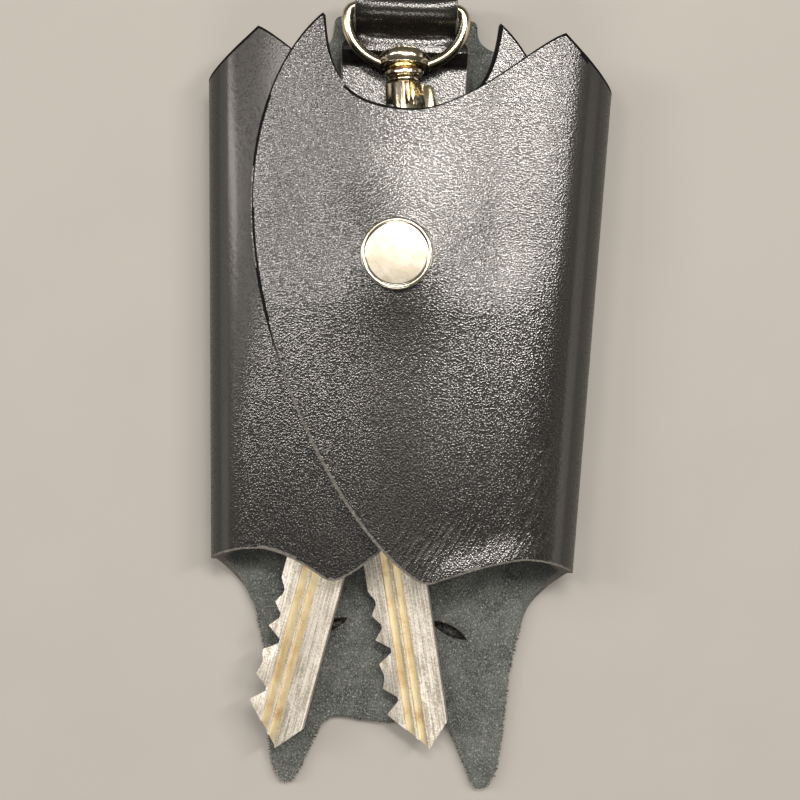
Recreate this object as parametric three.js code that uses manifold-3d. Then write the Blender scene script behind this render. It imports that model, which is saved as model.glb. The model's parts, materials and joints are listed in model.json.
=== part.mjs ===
// Leather key cover: a blank cut as a small winged animal, its wings folded over two keys and snapped shut.
// Millimetres, +Z up. The cover lies on its back panel, and +Y runs from the head to the hanger strap.
import * as THREE from 'three';
import { mergeVertices } from 'three/addons/utils/BufferGeometryUtils.js';
import Module from 'manifold-3d';

const wasm = await Module();
wasm.setup();
const degrees = Math.PI / 180;

// Cover
const leather = 1.8; // thickness of the blank
const halfWidth = 27.45; // from the middle to the outside of a side fold, level with the middle of the cover
const bodyHeight = 52.7; // from that level up to the first point of a wing
const taper = 0.0442; // how much the half width grows for each millimetre towards the strap
const leftBend = 4.6; // radius of the middle of the leather in the left side fold
const gap = 0.3; // free space between pieces cut from one another
const foldSplit = 45 * degrees; // where a fold turns, on both sides of its outermost line
const hardwareX = -0.9; // strap, clasp and snap sit this far beside the middle

// Press stud
const snapY = 20.2;
const snapRadius = 5.05;
const snapRise = 1.4; // height of the cap's dome
const snapStack = 3; // space that stud and socket hold between the wings
const postRadius = 1.5;
const studRadius = 1.9;
const sheetMetal = 0.4; // thickness of pressed metal

// Strap and rivets
const strap = 1.3; // thickness of the strap
const seam = 0.1; // space between layers lying on each other
const strapHalf = 9.35;
const strapLength = 23.9; // from the clasp's bar down to the ends of the strap
const tailHalf = 10.65;
const tailRise = 4.1; // how far the tail reaches above the first point of a wing
const rivetSpread = 5.8; // from the middle of the strap to a rivet
const rivetInset = 4.4; // from the ends of the strap to the rivets
const rivetRadius = 2.7;
const rivetPost = 1.2;

// Clasp
const barrelRadius = 2.9;
const barrelEnd = 14; // from the boss to the lower end of the barrel
const eyeHalf = 8.5; // from the middle of the eye to the middle of its wire
const eyeWire = 0.85; // radius of that wire
const eyeHeight = 8.6; // from the middle of the bar to the lower face of the boss
const bossLength = 2.9;
const bossHalf = 3.7;
const stemRadius = 1.15;
const hookDrop = 41.8; // from the boss to the lowest middle of the hook
const hookHalf = 4.9; // half the width of the hook between wire middles
const hookWidth = 2.2; // thickness of the hook's round bar
const triggerHalf = 1.05; // half the thickness of the trigger
const claspLean = 4.5 * degrees; // the hanging hook leans towards the right wing
const claspRoll = -17 * degrees; // and is rolled, its gate down
const pinRadius = 0.7;

// Ring and keys
const ringWidth = 1.2;
const ringCoil = 0.5; // thickness of one turn
const ringRoll = 35 * degrees; // steep enough to pass through the bows and the hook
const keyRoll = -7 * degrees; // the keys lie rolled against the ring
const keyThick = 1.8;
const keyLength = 50; // from the middle of the hole to the tip
const bladeHalf = 4.3;
const bowRadius = 10.2;
const keyHole = 4.7; // radius of the hole in the bow
const leftKeyHang = new THREE.Vector2(-8.29, -8.75); // from the hook's lowest point to the hole in the bow
const rightKeyHang = new THREE.Vector2(-6.32, -8.65);
const leftKeyTurn = -12.7 * degrees;
const rightKeyTurn = 11 * degrees;

// Levels that follow from the tail
const tailTop = bodyHeight + tailRise;
const barY = tailTop + seam;
const bossY = barY - eyeHeight; // lower face of the boss
const strapEnd = barY - strapLength;
const rivetY = strapEnd + rivetInset;

// Heights that follow from the stack of layers
const rearLayer = leather + seam + strap / 2; // middle of the strap where it lies on the tail
const frontLayer = rearLayer + strap + seam; // middle of the strap's returning layer
const claspZ = frontLayer + strap / 2 + gap + barrelRadius;
const rightBend = leftBend + leather / 2 + gap + seam;
const leftTop = claspZ + barrelRadius + 3 * gap + leather / 2; // middle of the left wing over the clasp
const rightTop = leftTop + leather + snapStack;
const lowKeyZ = leather + 7 * gap + keyThick / 2;
const highKeyZ = lowKeyZ + keyThick + gap + seam;

const turnSteps = 40;
const curveSteps = 10;
const weld = 1e-4;

// Any closed geometry as a body that can be added, subtracted and intersected.
function body(geometry) {
  const bare = geometry.index ? geometry.toNonIndexed() : geometry.clone();
  bare.deleteAttribute('normal');
  bare.deleteAttribute('uv');
  const merged = mergeVertices(bare, weld);
  const index = merged.index.array;
  const kept = [];
  for (let i = 0; i < index.length; i += 3) {
    const [a, b, c] = [index[i], index[i + 1], index[i + 2]];
    if (a !== b && b !== c && c !== a) kept.push(a, b, c);
  }
  return new wasm.Manifold(new wasm.Mesh({
    numProp: 3,
    vertProperties: merged.attributes.position.array,
    triVerts: new Uint32Array(kept),
  }));
}

// A body turned about the Y axis from a closed profile of (radius, height) points, counter-clockwise.
function turnedY(...profile) {
  const points = [...profile, profile[0]].map(([radius, height]) => new THREE.Vector2(radius, height));
  return body(new THREE.LatheGeometry(points, turnSteps));
}

// The same about the Z axis.
function turned(...profile) {
  return turnedY(...profile).rotate([90, 0, 0]);
}

function rod(radius, low, high) {
  return turned([0, low], [radius, low], [radius, high], [0, high]);
}

// A flat outline raised between two heights.
function prism(shape, low, high) {
  const options = { depth: high - low, bevelEnabled: false, curveSegments: curveSteps };
  return body(new THREE.ExtrudeGeometry(shape, options).translate(0, 0, low));
}

function box(low, high) {
  const size = new THREE.Vector3().subVectors(high, low);
  const middle = new THREE.Vector3().addVectors(low, high).multiplyScalar(0.5);
  return body(new THREE.BoxGeometry(size.x, size.y, size.z).translate(middle.x, middle.y, middle.z));
}

// A bar of constant section drawn along a curve.
function drawn(curve, section, steps) {
  return body(new THREE.ExtrudeGeometry(section, { steps, extrudePath: curve, bevelEnabled: false }));
}

function ovalSection(halfX, halfY, sides) {
  const corner = (_, i) => {
    const angle = (i / sides) * 2 * Math.PI;
    return new THREE.Vector2(halfX * Math.cos(angle), halfY * Math.sin(angle));
  };
  return new THREE.Shape(Array.from({ length: sides }, corner));
}

const finishes = {
  grain: { color: '#17181a', roughness: 0.4, metalness: 0 },
  nickel: { color: '#b9b6ad', roughness: 0.25, metalness: 1 },
  key: { color: '#b3aa97', roughness: 0.35, metalness: 1 },
  steel: { color: '#8f9194', roughness: 0.3, metalness: 1 },
};

function mesh(name, solid, finish) {
  const { vertProperties, triVerts } = solid.getMesh();
  const geometry = new THREE.BufferGeometry();
  geometry.setAttribute('position', new THREE.BufferAttribute(new Float32Array(vertProperties), 3));
  geometry.setIndex(new THREE.BufferAttribute(new Uint32Array(triVerts), 1));
  const made = new THREE.Mesh(geometry.toNonIndexed(), new THREE.MeshStandardMaterial(finishes[finish]));
  made.geometry.computeVertexNormals();
  made.name = name;
  return made;
}

// A point of the cover's outline, as shares of its half width and its height.
const at = (across, along) => new THREE.Vector2(across * halfWidth, along * bodyHeight);

// Leather

const bendCentreX = (bend) => halfWidth - leather / 2 - bend;
const bendCentreZ = (bend) => leather / 2 + bend;

// The slope at which a fold runs over into an arched front that reaches a given height in the middle.
function crownFor(bend, top) {
  let low = 0;
  let high = Math.PI / 3;
  for (let i = 0; i < turnSteps; i++) {
    const crown = (low + high) / 2;
    const joinX = bendCentreX(bend) + bend * Math.sin(crown);
    const reached = bendCentreZ(bend) + bend * Math.cos(crown) + (Math.tan(crown) * joinX) / 2;
    if (reached < top) low = crown;
    else high = crown;
  }
  return (low + high) / 2;
}

// Points on the middle of the leather around a fold, each with the direction that points out of the cover.
function foldLine(bend, from, to, steps) {
  const line = [];
  for (let i = 0; i <= steps; i++) {
    const angle = from + ((to - from) * i) / steps;
    const normal = new THREE.Vector2(Math.cos(angle), Math.sin(angle));
    const point = new THREE.Vector2(bendCentreX(bend), bendCentreZ(bend)).addScaledVector(normal, bend);
    line.push({ point, normal });
  }
  return line;
}

// The same across the arched front, from the fold to the far side.
function frontLine(bend, crown, steps) {
  const joinX = bendCentreX(bend) + bend * Math.sin(crown);
  const fall = Math.tan(crown) / (2 * joinX);
  const top = bendCentreZ(bend) + bend * Math.cos(crown) + fall * joinX * joinX;
  const line = [];
  for (let i = 1; i <= steps; i++) {
    const x = joinX - ((joinX + bendCentreX(leftBend)) * i) / steps;
    const normal = new THREE.Vector2(2 * fall * x, 1).normalize();
    line.push({ point: new THREE.Vector2(x, top - fall * x * x), normal });
  }
  return line;
}

const widthScale = (y) => 1 + (taper * y) / halfWidth;

// Leather of full thickness along a line of the cross-section, widening with the cover's taper.
function sheet(line) {
  const outside = line.map(({ point, normal }) => point.clone().addScaledVector(normal, leather / 2));
  const inside = line.map(({ point, normal }) => point.clone().addScaledVector(normal, -leather / 2));
  const length = 3 * bodyHeight;
  const section = new THREE.Shape([...outside, ...inside.reverse()]);
  const geometry = new THREE.ExtrudeGeometry(section, { depth: length, bevelEnabled: false });
  geometry.rotateX(Math.PI / 2).translate(0, length / 2, 0);
  const place = geometry.attributes.position;
  for (let i = 0; i < place.count; i++) place.setX(i, place.getX(i) * widthScale(place.getY(i)));
  return body(geometry);
}

const above = rightTop + 2 * leather;
const beyond = halfWidth + taper * bodyHeight + leather;
const bends = { left: leftBend, right: rightBend };
const tops = { left: leftTop, right: rightTop };
const mirrored = (side, solid) => (side === 'left' ? solid.mirror([1, 0, 0]) : solid);
const cutAngle = (bend) => gap / 2 / bend; // half of the gap at a split, seen from the middle of the fold

// Level of a wing's top and bottom edge where it meets the outermost line of the fold.
const cornerY = 0.865 * bodyHeight;
const heelY = -0.459 * bodyHeight;
const edgeRise = 0.037 * bodyHeight; // how far the top edge climbs between that line and a split

// Outline of a wing seen from the front. toe is the wing's lower point.
function wingOutline(toe) {
  const firstPoint = at(0.801, 1);
  const dip = at(0.018, 0.774);
  const outerTip = at(-0.459, 1.025);
  const reach = at(-0.798, 0.531);
  const arch = at(0.674, -0.417);
  const toeRound = 0.055 * halfWidth;
  const outline = new THREE.Shape();
  outline.moveTo(firstPoint.x, firstPoint.y);
  const scallop = [at(0.656, 0.972), at(0.291, 0.774), dip];
  outline.bezierCurveTo(scallop[0].x, scallop[0].y, scallop[1].x, scallop[1].y, dip.x, dip.y);
  const rise = [at(-0.346, 0.774), at(-0.43, 0.873)];
  outline.bezierCurveTo(rise[0].x, rise[0].y, rise[1].x, rise[1].y, outerTip.x, outerTip.y);
  const shoulder = [at(-0.638, 0.953), at(-0.809, 0.778)];
  outline.bezierCurveTo(shoulder[0].x, shoulder[0].y, shoulder[1].x, shoulder[1].y, reach.x, reach.y);
  const sweep = [at(-0.798, 0.152), new THREE.Vector2(toe.x - 0.455 * halfWidth, toe.y + 0.125 * bodyHeight)];
  outline.bezierCurveTo(sweep[0].x, sweep[0].y, sweep[1].x, sweep[1].y, toe.x - toeRound, toe.y + toeRound / 4);
  outline.quadraticCurveTo(toe.x, toe.y - toeRound / 3, toe.x + toeRound, toe.y + toeRound / 5);
  const lift = at(0.528, -0.425);
  outline.quadraticCurveTo(lift.x, lift.y, arch.x, arch.y);
  const heel = at(0.856, -0.417);
  outline.quadraticCurveTo(heel.x, heel.y, halfWidth + taper * heelY, heelY);
  outline.lineTo(beyond, heelY - leather);
  outline.lineTo(beyond, cornerY - leather);
  outline.lineTo(halfWidth + taper * cornerY, cornerY);
  return outline;
}

function wingSolid(side, toe) {
  const bend = bends[side];
  const crown = crownFor(bend, tops[side]);
  const fold = foldLine(bend, foldSplit + cutAngle(bend), Math.PI / 2 - crown, curveSteps);
  const line = [...fold, ...frontLine(bend, crown, 2 * curveSteps)];
  return mirrored(side, sheet(line).intersect(prism(wingOutline(toe), 0, above)));
}

// The part of a fold between its two splits, cut to length as seen from the side.
function sideSolid(side) {
  const bend = bends[side];
  const cut = foldSplit - cutAngle(bend);
  const strip = sheet(foldLine(bend, -cut, cut, 2 * curveSteps));
  const middle = bendCentreZ(bend);
  const climb = edgeRise / (bend * Math.sin(foldSplit));
  const edge = new THREE.Shape();
  edge.moveTo(cornerY - climb * middle, 0);
  edge.lineTo(cornerY + climb * middle, 2 * middle);
  edge.lineTo(heelY + leather, 2 * middle);
  edge.quadraticCurveTo(heelY + leather, middle, heelY - edgeRise, 0);
  const options = { depth: 2 * halfWidth, bevelEnabled: false, curveSegments: curveSteps };
  const window = body(new THREE.ExtrudeGeometry(edge, options).rotateY(Math.PI / 2).rotateX(Math.PI / 2));
  return mirrored(side, strip.intersect(window));
}

// One half of the back panel's outline, from the middle of the tail to the middle of the chin.
function panelHalf(sign) {
  const edge = tailHalf + sign * hardwareX;
  const round = tailHalf - strapHalf;
  const shoulder = at(0.47, 0.99);
  const notch = at(0.8, 0.782);
  const half = new THREE.Path();
  half.moveTo(0, tailTop);
  half.lineTo(edge - round, tailTop);
  half.quadraticCurveTo(edge, tailTop, edge, tailTop - round);
  half.quadraticCurveTo(edge, shoulder.y + round / 2, shoulder.x, shoulder.y);
  const scallop = [at(0.583, 0.964), at(0.62, 0.784)];
  half.bezierCurveTo(scallop[0].x, scallop[0].y, scallop[1].x, scallop[1].y, notch.x, notch.y);
  const lip = at(0.92, 0.782);
  half.quadraticCurveTo(lip.x, lip.y, halfWidth + taper * cornerY, cornerY);
  half.lineTo(beyond, cornerY + leather);
  half.lineTo(beyond, heelY + 2 * leather);
  const neck = at(0.725, -0.607);
  const flank = [at(0.893, -0.512), at(0.765, -0.543)];
  half.lineTo(halfWidth + taper * heelY, heelY);
  half.bezierCurveTo(flank[0].x, flank[0].y, flank[1].x, flank[1].y, neck.x, neck.y);
  const cheek = at(0.652, -0.797);
  const jaw = [at(0.685, -0.67), at(0.663, -0.721)];
  half.bezierCurveTo(jaw[0].x, jaw[0].y, jaw[1].x, jaw[1].y, cheek.x, cheek.y);
  const earBase = at(0.616, -1.006);
  const temple = [at(0.641, -0.863), at(0.634, -0.949)];
  half.bezierCurveTo(temple[0].x, temple[0].y, temple[1].x, temple[1].y, earBase.x, earBase.y);
  const earTip = at(0.525, -1.089);
  const earOut = [at(0.605, -1.051), at(0.568, -1.089)];
  half.bezierCurveTo(earOut[0].x, earOut[0].y, earOut[1].x, earOut[1].y, earTip.x, earTip.y);
  const earRoot = at(0.423, -1.006);
  const earIn = [at(0.488, -1.089), at(0.459, -1.047)];
  half.bezierCurveTo(earIn[0].x, earIn[0].y, earIn[1].x, earIn[1].y, earRoot.x, earRoot.y);
  const crownSide = at(0.237, -0.896);
  const earSide = [at(0.36, -0.93), at(0.34, -0.892)];
  half.bezierCurveTo(earSide[0].x, earSide[0].y, earSide[1].x, earSide[1].y, crownSide.x, crownSide.y);
  const chin = [at(0.164, -0.899), at(0.091, -0.909), at(0, -0.909)];
  half.bezierCurveTo(chin[0].x, chin[0].y, chin[1].x, chin[1].y, chin[2].x, chin[2].y);
  return half.getPoints(curveSteps).map((point) => new THREE.Vector2(sign * point.x, point.y));
}

// A slanted crescent slot for an eye.
function eyeShape(sign) {
  const inner = at(0.226, -0.62);
  const outer = at(0.428, -0.672);
  const over = at(0.36, -0.618);
  const under = at(0.29, -0.668);
  const eye = new THREE.Shape();
  eye.moveTo(sign * inner.x, inner.y);
  eye.quadraticCurveTo(sign * over.x, over.y, sign * outer.x, outer.y);
  eye.quadraticCurveTo(sign * under.x, under.y, sign * inner.x, inner.y);
  return eye;
}

function panelSolid() {
  const halves = { left: [], right: [] };
  for (const side of ['left', 'right']) {
    const end = -foldSplit - cutAngle(bends[side]);
    halves[side] = foldLine(bends[side], -Math.PI / 2, end, curveSteps);
  }
  const flip = ({ point, normal }) => ({
    point: new THREE.Vector2(-point.x, point.y),
    normal: new THREE.Vector2(-normal.x, normal.y),
  });
  const line = [...halves.left.map(flip).reverse(), ...halves.right];
  const outline = [...panelHalf(1), ...panelHalf(-1).reverse()];
  let panel = sheet(line).intersect(prism(new THREE.Shape(outline), -leather, above));
  for (const sign of [-1, 1]) {
    panel = panel.subtract(prism(eyeShape(sign), -leather, 2 * leather));
    const hole = rod(rivetPost + seam, -leather, 2 * leather).add(rod(rivetRadius + seam, -leather, rivetSink));
    panel = panel.subtract(hole.translate([hardwareX + sign * rivetSpread, rivetY, 0]));
  }
  return panel;
}

const rivetSink = 0.8; // depth of the recess for a rivet's flat foot

// Strap

// Line of the strap seen from the side: along the tail, round the clasp's bar and back down.
function strapLine() {
  const wrap = eyeWire + gap + strap / 2;
  const lift = bossY + gap;
  const line = new THREE.Path();
  line.moveTo(strapEnd, rearLayer);
  line.lineTo(lift, rearLayer);
  line.bezierCurveTo(barY - wrap, rearLayer, barY + wrap, (rearLayer + claspZ) / 2, barY + wrap, claspZ);
  line.absarc(barY, claspZ, wrap, 0, Math.PI, false);
  line.bezierCurveTo(barY - wrap, (rearLayer + claspZ) / 2, barY - 2 * wrap, frontLayer, lift, frontLayer);
  line.lineTo(strapEnd, frontLayer);
  return line.getPoints(curveSteps);
}

function strapSolid() {
  const points = strapLine();
  const across = points.map((point, i) => {
    const before = points[Math.max(i - 1, 0)];
    const after = points[Math.min(i + 1, points.length - 1)];
    const run = new THREE.Vector2().subVectors(after, before).normalize();
    return new THREE.Vector2(-run.y, run.x).multiplyScalar(strap / 2);
  });
  const outer = points.map((point, i) => point.clone().sub(across[i]));
  const inner = points.map((point, i) => point.clone().add(across[i]));
  const profile = new THREE.Shape([...outer, ...inner.reverse()]);
  const options = { depth: 2 * strapHalf, bevelEnabled: false };
  const band = new THREE.ExtrudeGeometry(profile, options).translate(0, 0, -strapHalf);
  let solid = body(band.rotateY(Math.PI / 2).rotateX(Math.PI / 2)).translate([hardwareX, 0, 0]);
  const waist = eyeHalf - eyeWire - gap;
  for (const sign of [-1, 1]) {
    const side = new THREE.Shape();
    side.moveTo(waist, barY + above);
    side.lineTo(waist, barY - eyeHalf / 3);
    side.quadraticCurveTo(waist, bossY + bossLength, strapHalf + gap, bossY + bossLength);
    side.lineTo(strapHalf + gap, barY + above);
    const cut = prism(side, 0, above);
    const placed = sign > 0 ? cut : cut.mirror([1, 0, 0]);
    solid = solid.subtract(placed.translate([hardwareX, 0, 0]));
    const hole = rod(rivetPost + seam, 0, above);
    solid = solid.subtract(hole.translate([hardwareX + sign * rivetSpread, rivetY, 0]));
  }
  return solid;
}

const rivetTop = frontLayer + strap / 2 + seam;

function rivetFoot() {
  const flat = rivetSink - seam;
  const tip = rivetTop + sheetMetal;
  return turned(
    [0, 0], [rivetRadius - seam, 0], [rivetRadius, flat / 2], [rivetRadius - seam, flat],
    [rivetPost, flat], [rivetPost, tip], [0, tip],
  );
}

function rivetCap() {
  const dome = rivetTop + 2 * sheetMetal;
  return turned(
    [rivetPost + seam, rivetTop], [rivetRadius - seam, rivetTop], [rivetRadius, rivetTop + sheetMetal / 2],
    [0.6 * rivetRadius, dome], [0, dome + seam], [0, rivetTop + sheetMetal + seam],
    [rivetPost + seam, rivetTop + sheetMetal + seam],
  );
}

// Press stud, on the Z axis

const leftOutside = leftTop + leather / 2;
const leftInside = leftTop - leather / 2;
const rightOutside = rightTop + leather / 2;
const rightInside = rightTop - leather / 2;
const socketTop = rightInside - gap - seam;
const studFoot = leftOutside + seam;
const clinchFoot = socketTop - 2 * sheetMetal - seam; // lower end of the cap's clinched post
const studHead = clinchFoot - seam;

function snapCap() {
  const foot = rightOutside + seam;
  const clinch = clinchFoot + sheetMetal;
  const flare = postRadius + sheetMetal;
  const profile = [
    [0, clinchFoot], [flare, clinchFoot], [flare, clinch], [postRadius, clinch],
    [postRadius, foot], [snapRadius - sheetMetal, foot], [snapRadius, foot + sheetMetal / 2],
    [snapRadius - seam, foot + sheetMetal],
  ];
  for (let i = 1; i <= curveSteps; i++) {
    const share = (i / curveSteps) * (Math.PI / 2);
    const rise = foot + sheetMetal + (snapRise - sheetMetal) * Math.sin(share);
    profile.push([(snapRadius - seam - gap) * Math.cos(share), rise]);
  }
  return turned(...profile);
}

const socketRadius = 0.92 * snapRadius;
const springRadius = studRadius + 0.85;
const springWire = 0.3;
const socketBore = springRadius + springWire + seam;
const socketFoot = studFoot + sheetMetal + seam;

function snapSocket() {
  const plate = socketTop - sheetMetal;
  const lip = springRadius - springWire;
  return turned(
    [postRadius + seam, plate], [postRadius + seam + sheetMetal + gap, plate], [socketBore, plate - sheetMetal],
    [socketBore, socketFoot + sheetMetal], [lip, socketFoot + sheetMetal], [lip, socketFoot],
    [socketRadius - sheetMetal, socketFoot], [socketRadius, socketFoot + sheetMetal],
    [socketRadius, socketTop - sheetMetal / 2], [socketRadius - sheetMetal, socketTop],
    [postRadius + seam, socketTop],
  );
}

class Arc extends THREE.Curve {
  constructor(radius, from, to, rise) {
    super();
    Object.assign(this, { radius, from, to, rise });
  }

  getPoint(t, target = new THREE.Vector3()) {
    const angle = this.from + (this.to - this.from) * t;
    return target.set(this.radius * Math.cos(angle), this.radius * Math.sin(angle), this.rise * t);
  }
}

function snapSpring() {
  const mouth = 20 * degrees;
  const curve = new Arc(springRadius, mouth, 2 * Math.PI - mouth, 0);
  const height = socketFoot + sheetMetal + springWire + seam / 2;
  return drawn(curve, ovalSection(springWire, springWire, 8), turnSteps).translate([0, 0, height]);
}

function snapStud() {
  const neck = studRadius - seam - seam;
  const shoulder = studHead - sheetMetal - gap;
  const bore = postRadius - gap + seam;
  return turned(
    [bore, studFoot], [socketRadius - sheetMetal, studFoot], [socketRadius - sheetMetal, studFoot + sheetMetal],
    [neck, studFoot + sheetMetal], [neck, shoulder], [studRadius, shoulder + gap / 2],
    [studRadius, studHead - gap], [neck - gap, studHead], [0, studHead],
    [0, studHead - gap], [bore, studHead - gap],
  );
}

function snapEyelet() {
  const foot = leftInside - gap - sheetMetal;
  const flange = socketRadius - sheetMetal;
  const shank = postRadius - gap;
  const tip = studHead - gap - seam;
  return turned(
    [0, foot], [flange - gap, foot], [flange, foot + sheetMetal / 2], [flange - seam, foot + sheetMetal],
    [shank, foot + sheetMetal], [shank, tip], [0, tip],
  );
}

function snapHole(solid) {
  return solid.subtract(rod(postRadius + seam, 0, above).translate([hardwareX, snapY, 0]));
}

// Clasp eye: wire bent round the strap's bar, both ends held by the boss

function claspEye() {
  const corner = 2 * eyeWire;
  const bossMiddle = bossY + bossLength / 2;
  const path = new THREE.CurvePath();
  const p = (x, y) => new THREE.Vector3(x, y, 0);
  const arm = barY - corner;
  const hip = (arm + bossMiddle) / 2;
  const left = [p(-bossHalf / 2, bossMiddle), p(-eyeHalf + corner, bossMiddle), p(-eyeHalf, hip), p(-eyeHalf, arm)];
  path.add(new THREE.CubicBezierCurve3(...left));
  path.add(new THREE.QuadraticBezierCurve3(left[3], p(-eyeHalf, barY), p(-eyeHalf + corner, barY)));
  path.add(new THREE.LineCurve3(p(-eyeHalf + corner, barY), p(eyeHalf - corner, barY)));
  path.add(new THREE.QuadraticBezierCurve3(p(eyeHalf - corner, barY), p(eyeHalf, barY), p(eyeHalf, arm)));
  const right = left.map((point) => p(-point.x, point.y)).reverse();
  path.add(new THREE.CubicBezierCurve3(...right));
  const wire = drawn(path, ovalSection(eyeWire, eyeWire, 12), 2 * turnSteps);
  const round = 2 * gap;
  const boss = turnedY(
    [0, bossY], [bossHalf - round, bossY], [bossHalf, bossY + round], [bossHalf, bossY + bossLength - round],
    [bossHalf - round, bossY + bossLength], [0, bossY + bossLength],
  ).scale([1, 1, barrelRadius / bossHalf]);
  const bore = stemRadius + gap + bossLength * Math.tan(claspLean);
  const room = turnedY([0, 0], [bore, 0], [bore, 2 * barY], [0, 2 * barY]);
  return wire.add(boss).subtract(room).translate([hardwareX, 0, claspZ]);
}

// Clasp hook, about its own axis: the boss's lower face is at the origin and the hook hangs towards -Y

const pinAt = new THREE.Vector2(-0.6 * barrelRadius, -2.15 * barrelRadius);
const barrelTop = 0.7 * barrelRadius;
const slotHalf = triggerHalf + gap;
const hub = pinRadius + 2 * gap; // radius of the trigger round its pin
const shelf = pinAt.y - hub; // lower side of that round
const hookTip = new THREE.Vector2(-hookHalf + gap, -hookDrop + 2.4 * hookWidth);

function claspHook() {
  const round = 2 * gap;
  const neck = 0.65 * barrelRadius;
  const head = bossLength + gap + seam;
  let solid = turnedY(
    [0, -barrelEnd], [barrelRadius - round, -barrelEnd], [barrelRadius, -barrelEnd + round],
    [barrelRadius, -barrelTop - round], [barrelRadius - round, -barrelTop], [neck, -barrelTop],
    [neck, -barrelTop + gap], [neck + round, -barrelTop + 2 * gap], [neck + round, -3 * gap],
    [neck, -2 * gap], [stemRadius, -2 * gap], [stemRadius, head], [stemRadius + 3 * gap, head],
    [stemRadius + round, head + round], [0, head + round],
  );
  const far = 2 * barrelRadius;
  const wall = gap + seam;
  const rooms = [
    [-far, -barrelEnd - gap, pinAt.x + hub + gap, pinAt.y + hub + gap],
    [-far, shelf - hookWidth, far, shelf + 4 * gap],
    [wall, shelf - hookWidth, far, -barrelTop + seam],
  ];
  for (const [left, bottom, right, top] of rooms) {
    const low = new THREE.Vector3(left, bottom, -slotHalf);
    solid = solid.subtract(box(low, new THREE.Vector3(right, top, slotHalf)));
  }
  const window = new THREE.Vector3(wall + gap, pinAt.y + gap, 0);
  solid = solid.subtract(box(window, new THREE.Vector3(far, -barrelTop - round, far)));
  const hole = rod(pinRadius + seam, -far, far).translate([pinAt.x, pinAt.y, 0]);
  const stations = [
    [barrelRadius / 3, -barrelEnd + round], [hookHalf - gap, -barrelEnd - 2 * hookWidth],
    [hookHalf, (-barrelEnd - hookDrop) / 2], [hookHalf - gap, -hookDrop + 2 * hookWidth],
    [0, -hookDrop], [hookTip.x - seam, -hookDrop + 1.4 * hookWidth], [hookTip.x, hookTip.y],
  ];
  const path = new THREE.CatmullRomCurve3(stations.map(([x, y]) => new THREE.Vector3(x, y, 0)));
  const arm = drawn(path, ovalSection(hookWidth / 2, hookWidth / 2, 12), turnSteps);
  return solid.subtract(hole).add(arm);
}

function claspTrigger() {
  const gate = 0.8 * hookWidth;
  const thumb = barrelRadius + gap;
  const end = hookTip.y + 2 * gap;
  const lever = new THREE.Shape();
  lever.moveTo(pinAt.x, pinAt.y + hub);
  lever.absarc(pinAt.x, pinAt.y, hub, Math.PI / 2, Math.PI, false);
  lever.quadraticCurveTo(-hookHalf - gate / 2, -barrelEnd, -hookHalf - gate / 2, -1.4 * barrelEnd);
  lever.lineTo(hookTip.x - gate / 2, end);
  lever.lineTo(hookTip.x + gate / 2, end);
  lever.lineTo(-hookHalf + gate / 2, -1.4 * barrelEnd);
  lever.quadraticCurveTo(-hookHalf + gate / 2, -barrelEnd, pinAt.x + hub / 2, shelf - gate / 2);
  lever.lineTo(thumb + gate / 2, shelf - gate / 2);
  lever.quadraticCurveTo(thumb + gate, shelf, thumb + gate / 2, pinAt.y + hub + gate);
  lever.lineTo(thumb, pinAt.y + hub + gate);
  lever.lineTo(thumb, shelf + gap);
  lever.lineTo(pinAt.x + hub + seam, shelf + gap);
  lever.absarc(pinAt.x, pinAt.y, hub, 0, Math.PI / 2, false);
  const bore = rod(pinRadius + seam, -barrelRadius, barrelRadius).translate([pinAt.x, pinAt.y, 0]);
  return prism(lever, -triggerHalf, triggerHalf).subtract(bore);
}

function triggerPin() {
  const reach = Math.sqrt(barrelRadius ** 2 - pinAt.x ** 2) + seam;
  return rod(pinRadius, -reach, reach).translate([pinAt.x, pinAt.y, 0]);
}

function triggerSpring() {
  const turns = 4;
  const wire = 0.2;
  const start = gap + seam + wire + seam;
  const length = barrelRadius + gap - 2 * wire - seam - start;
  const curve = new Arc(0.6 * triggerHalf, 0, turns * 2 * Math.PI, length);
  const coil = drawn(curve, ovalSection(wire, wire, 6), 10 * turns);
  return coil.rotate([0, 90, 0]).translate([start + wire / 2, pinAt.y + hookWidth / 2, 0]);
}

// Key ring: flat wire wound twice, about its own Z axis

function keyRing(ringRadius) {
  const turns = 1.92;
  const length = turns * 2 * Math.PI * ringRadius;
  const wire = new THREE.BoxGeometry(length, ringCoil, ringWidth, 3 * turnSteps, 1, 1).toNonIndexed();
  const place = wire.attributes.position;
  for (let i = 0; i < place.count; i++) {
    const angle = place.getX(i) / ringRadius;
    const radius = ringRadius - place.getZ(i);
    const height = place.getY(i) + ((ringCoil + seam) * angle) / (2 * Math.PI);
    place.setXYZ(i, radius * Math.sin(angle), radius * Math.cos(angle), height);
  }
  const solid = body(wire);
  return solid.volume() > 0 ? solid : body(wire.scale(-1, 1, 1));
}

// Key, hole at the origin, blade towards -Y, cuts on the left

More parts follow.
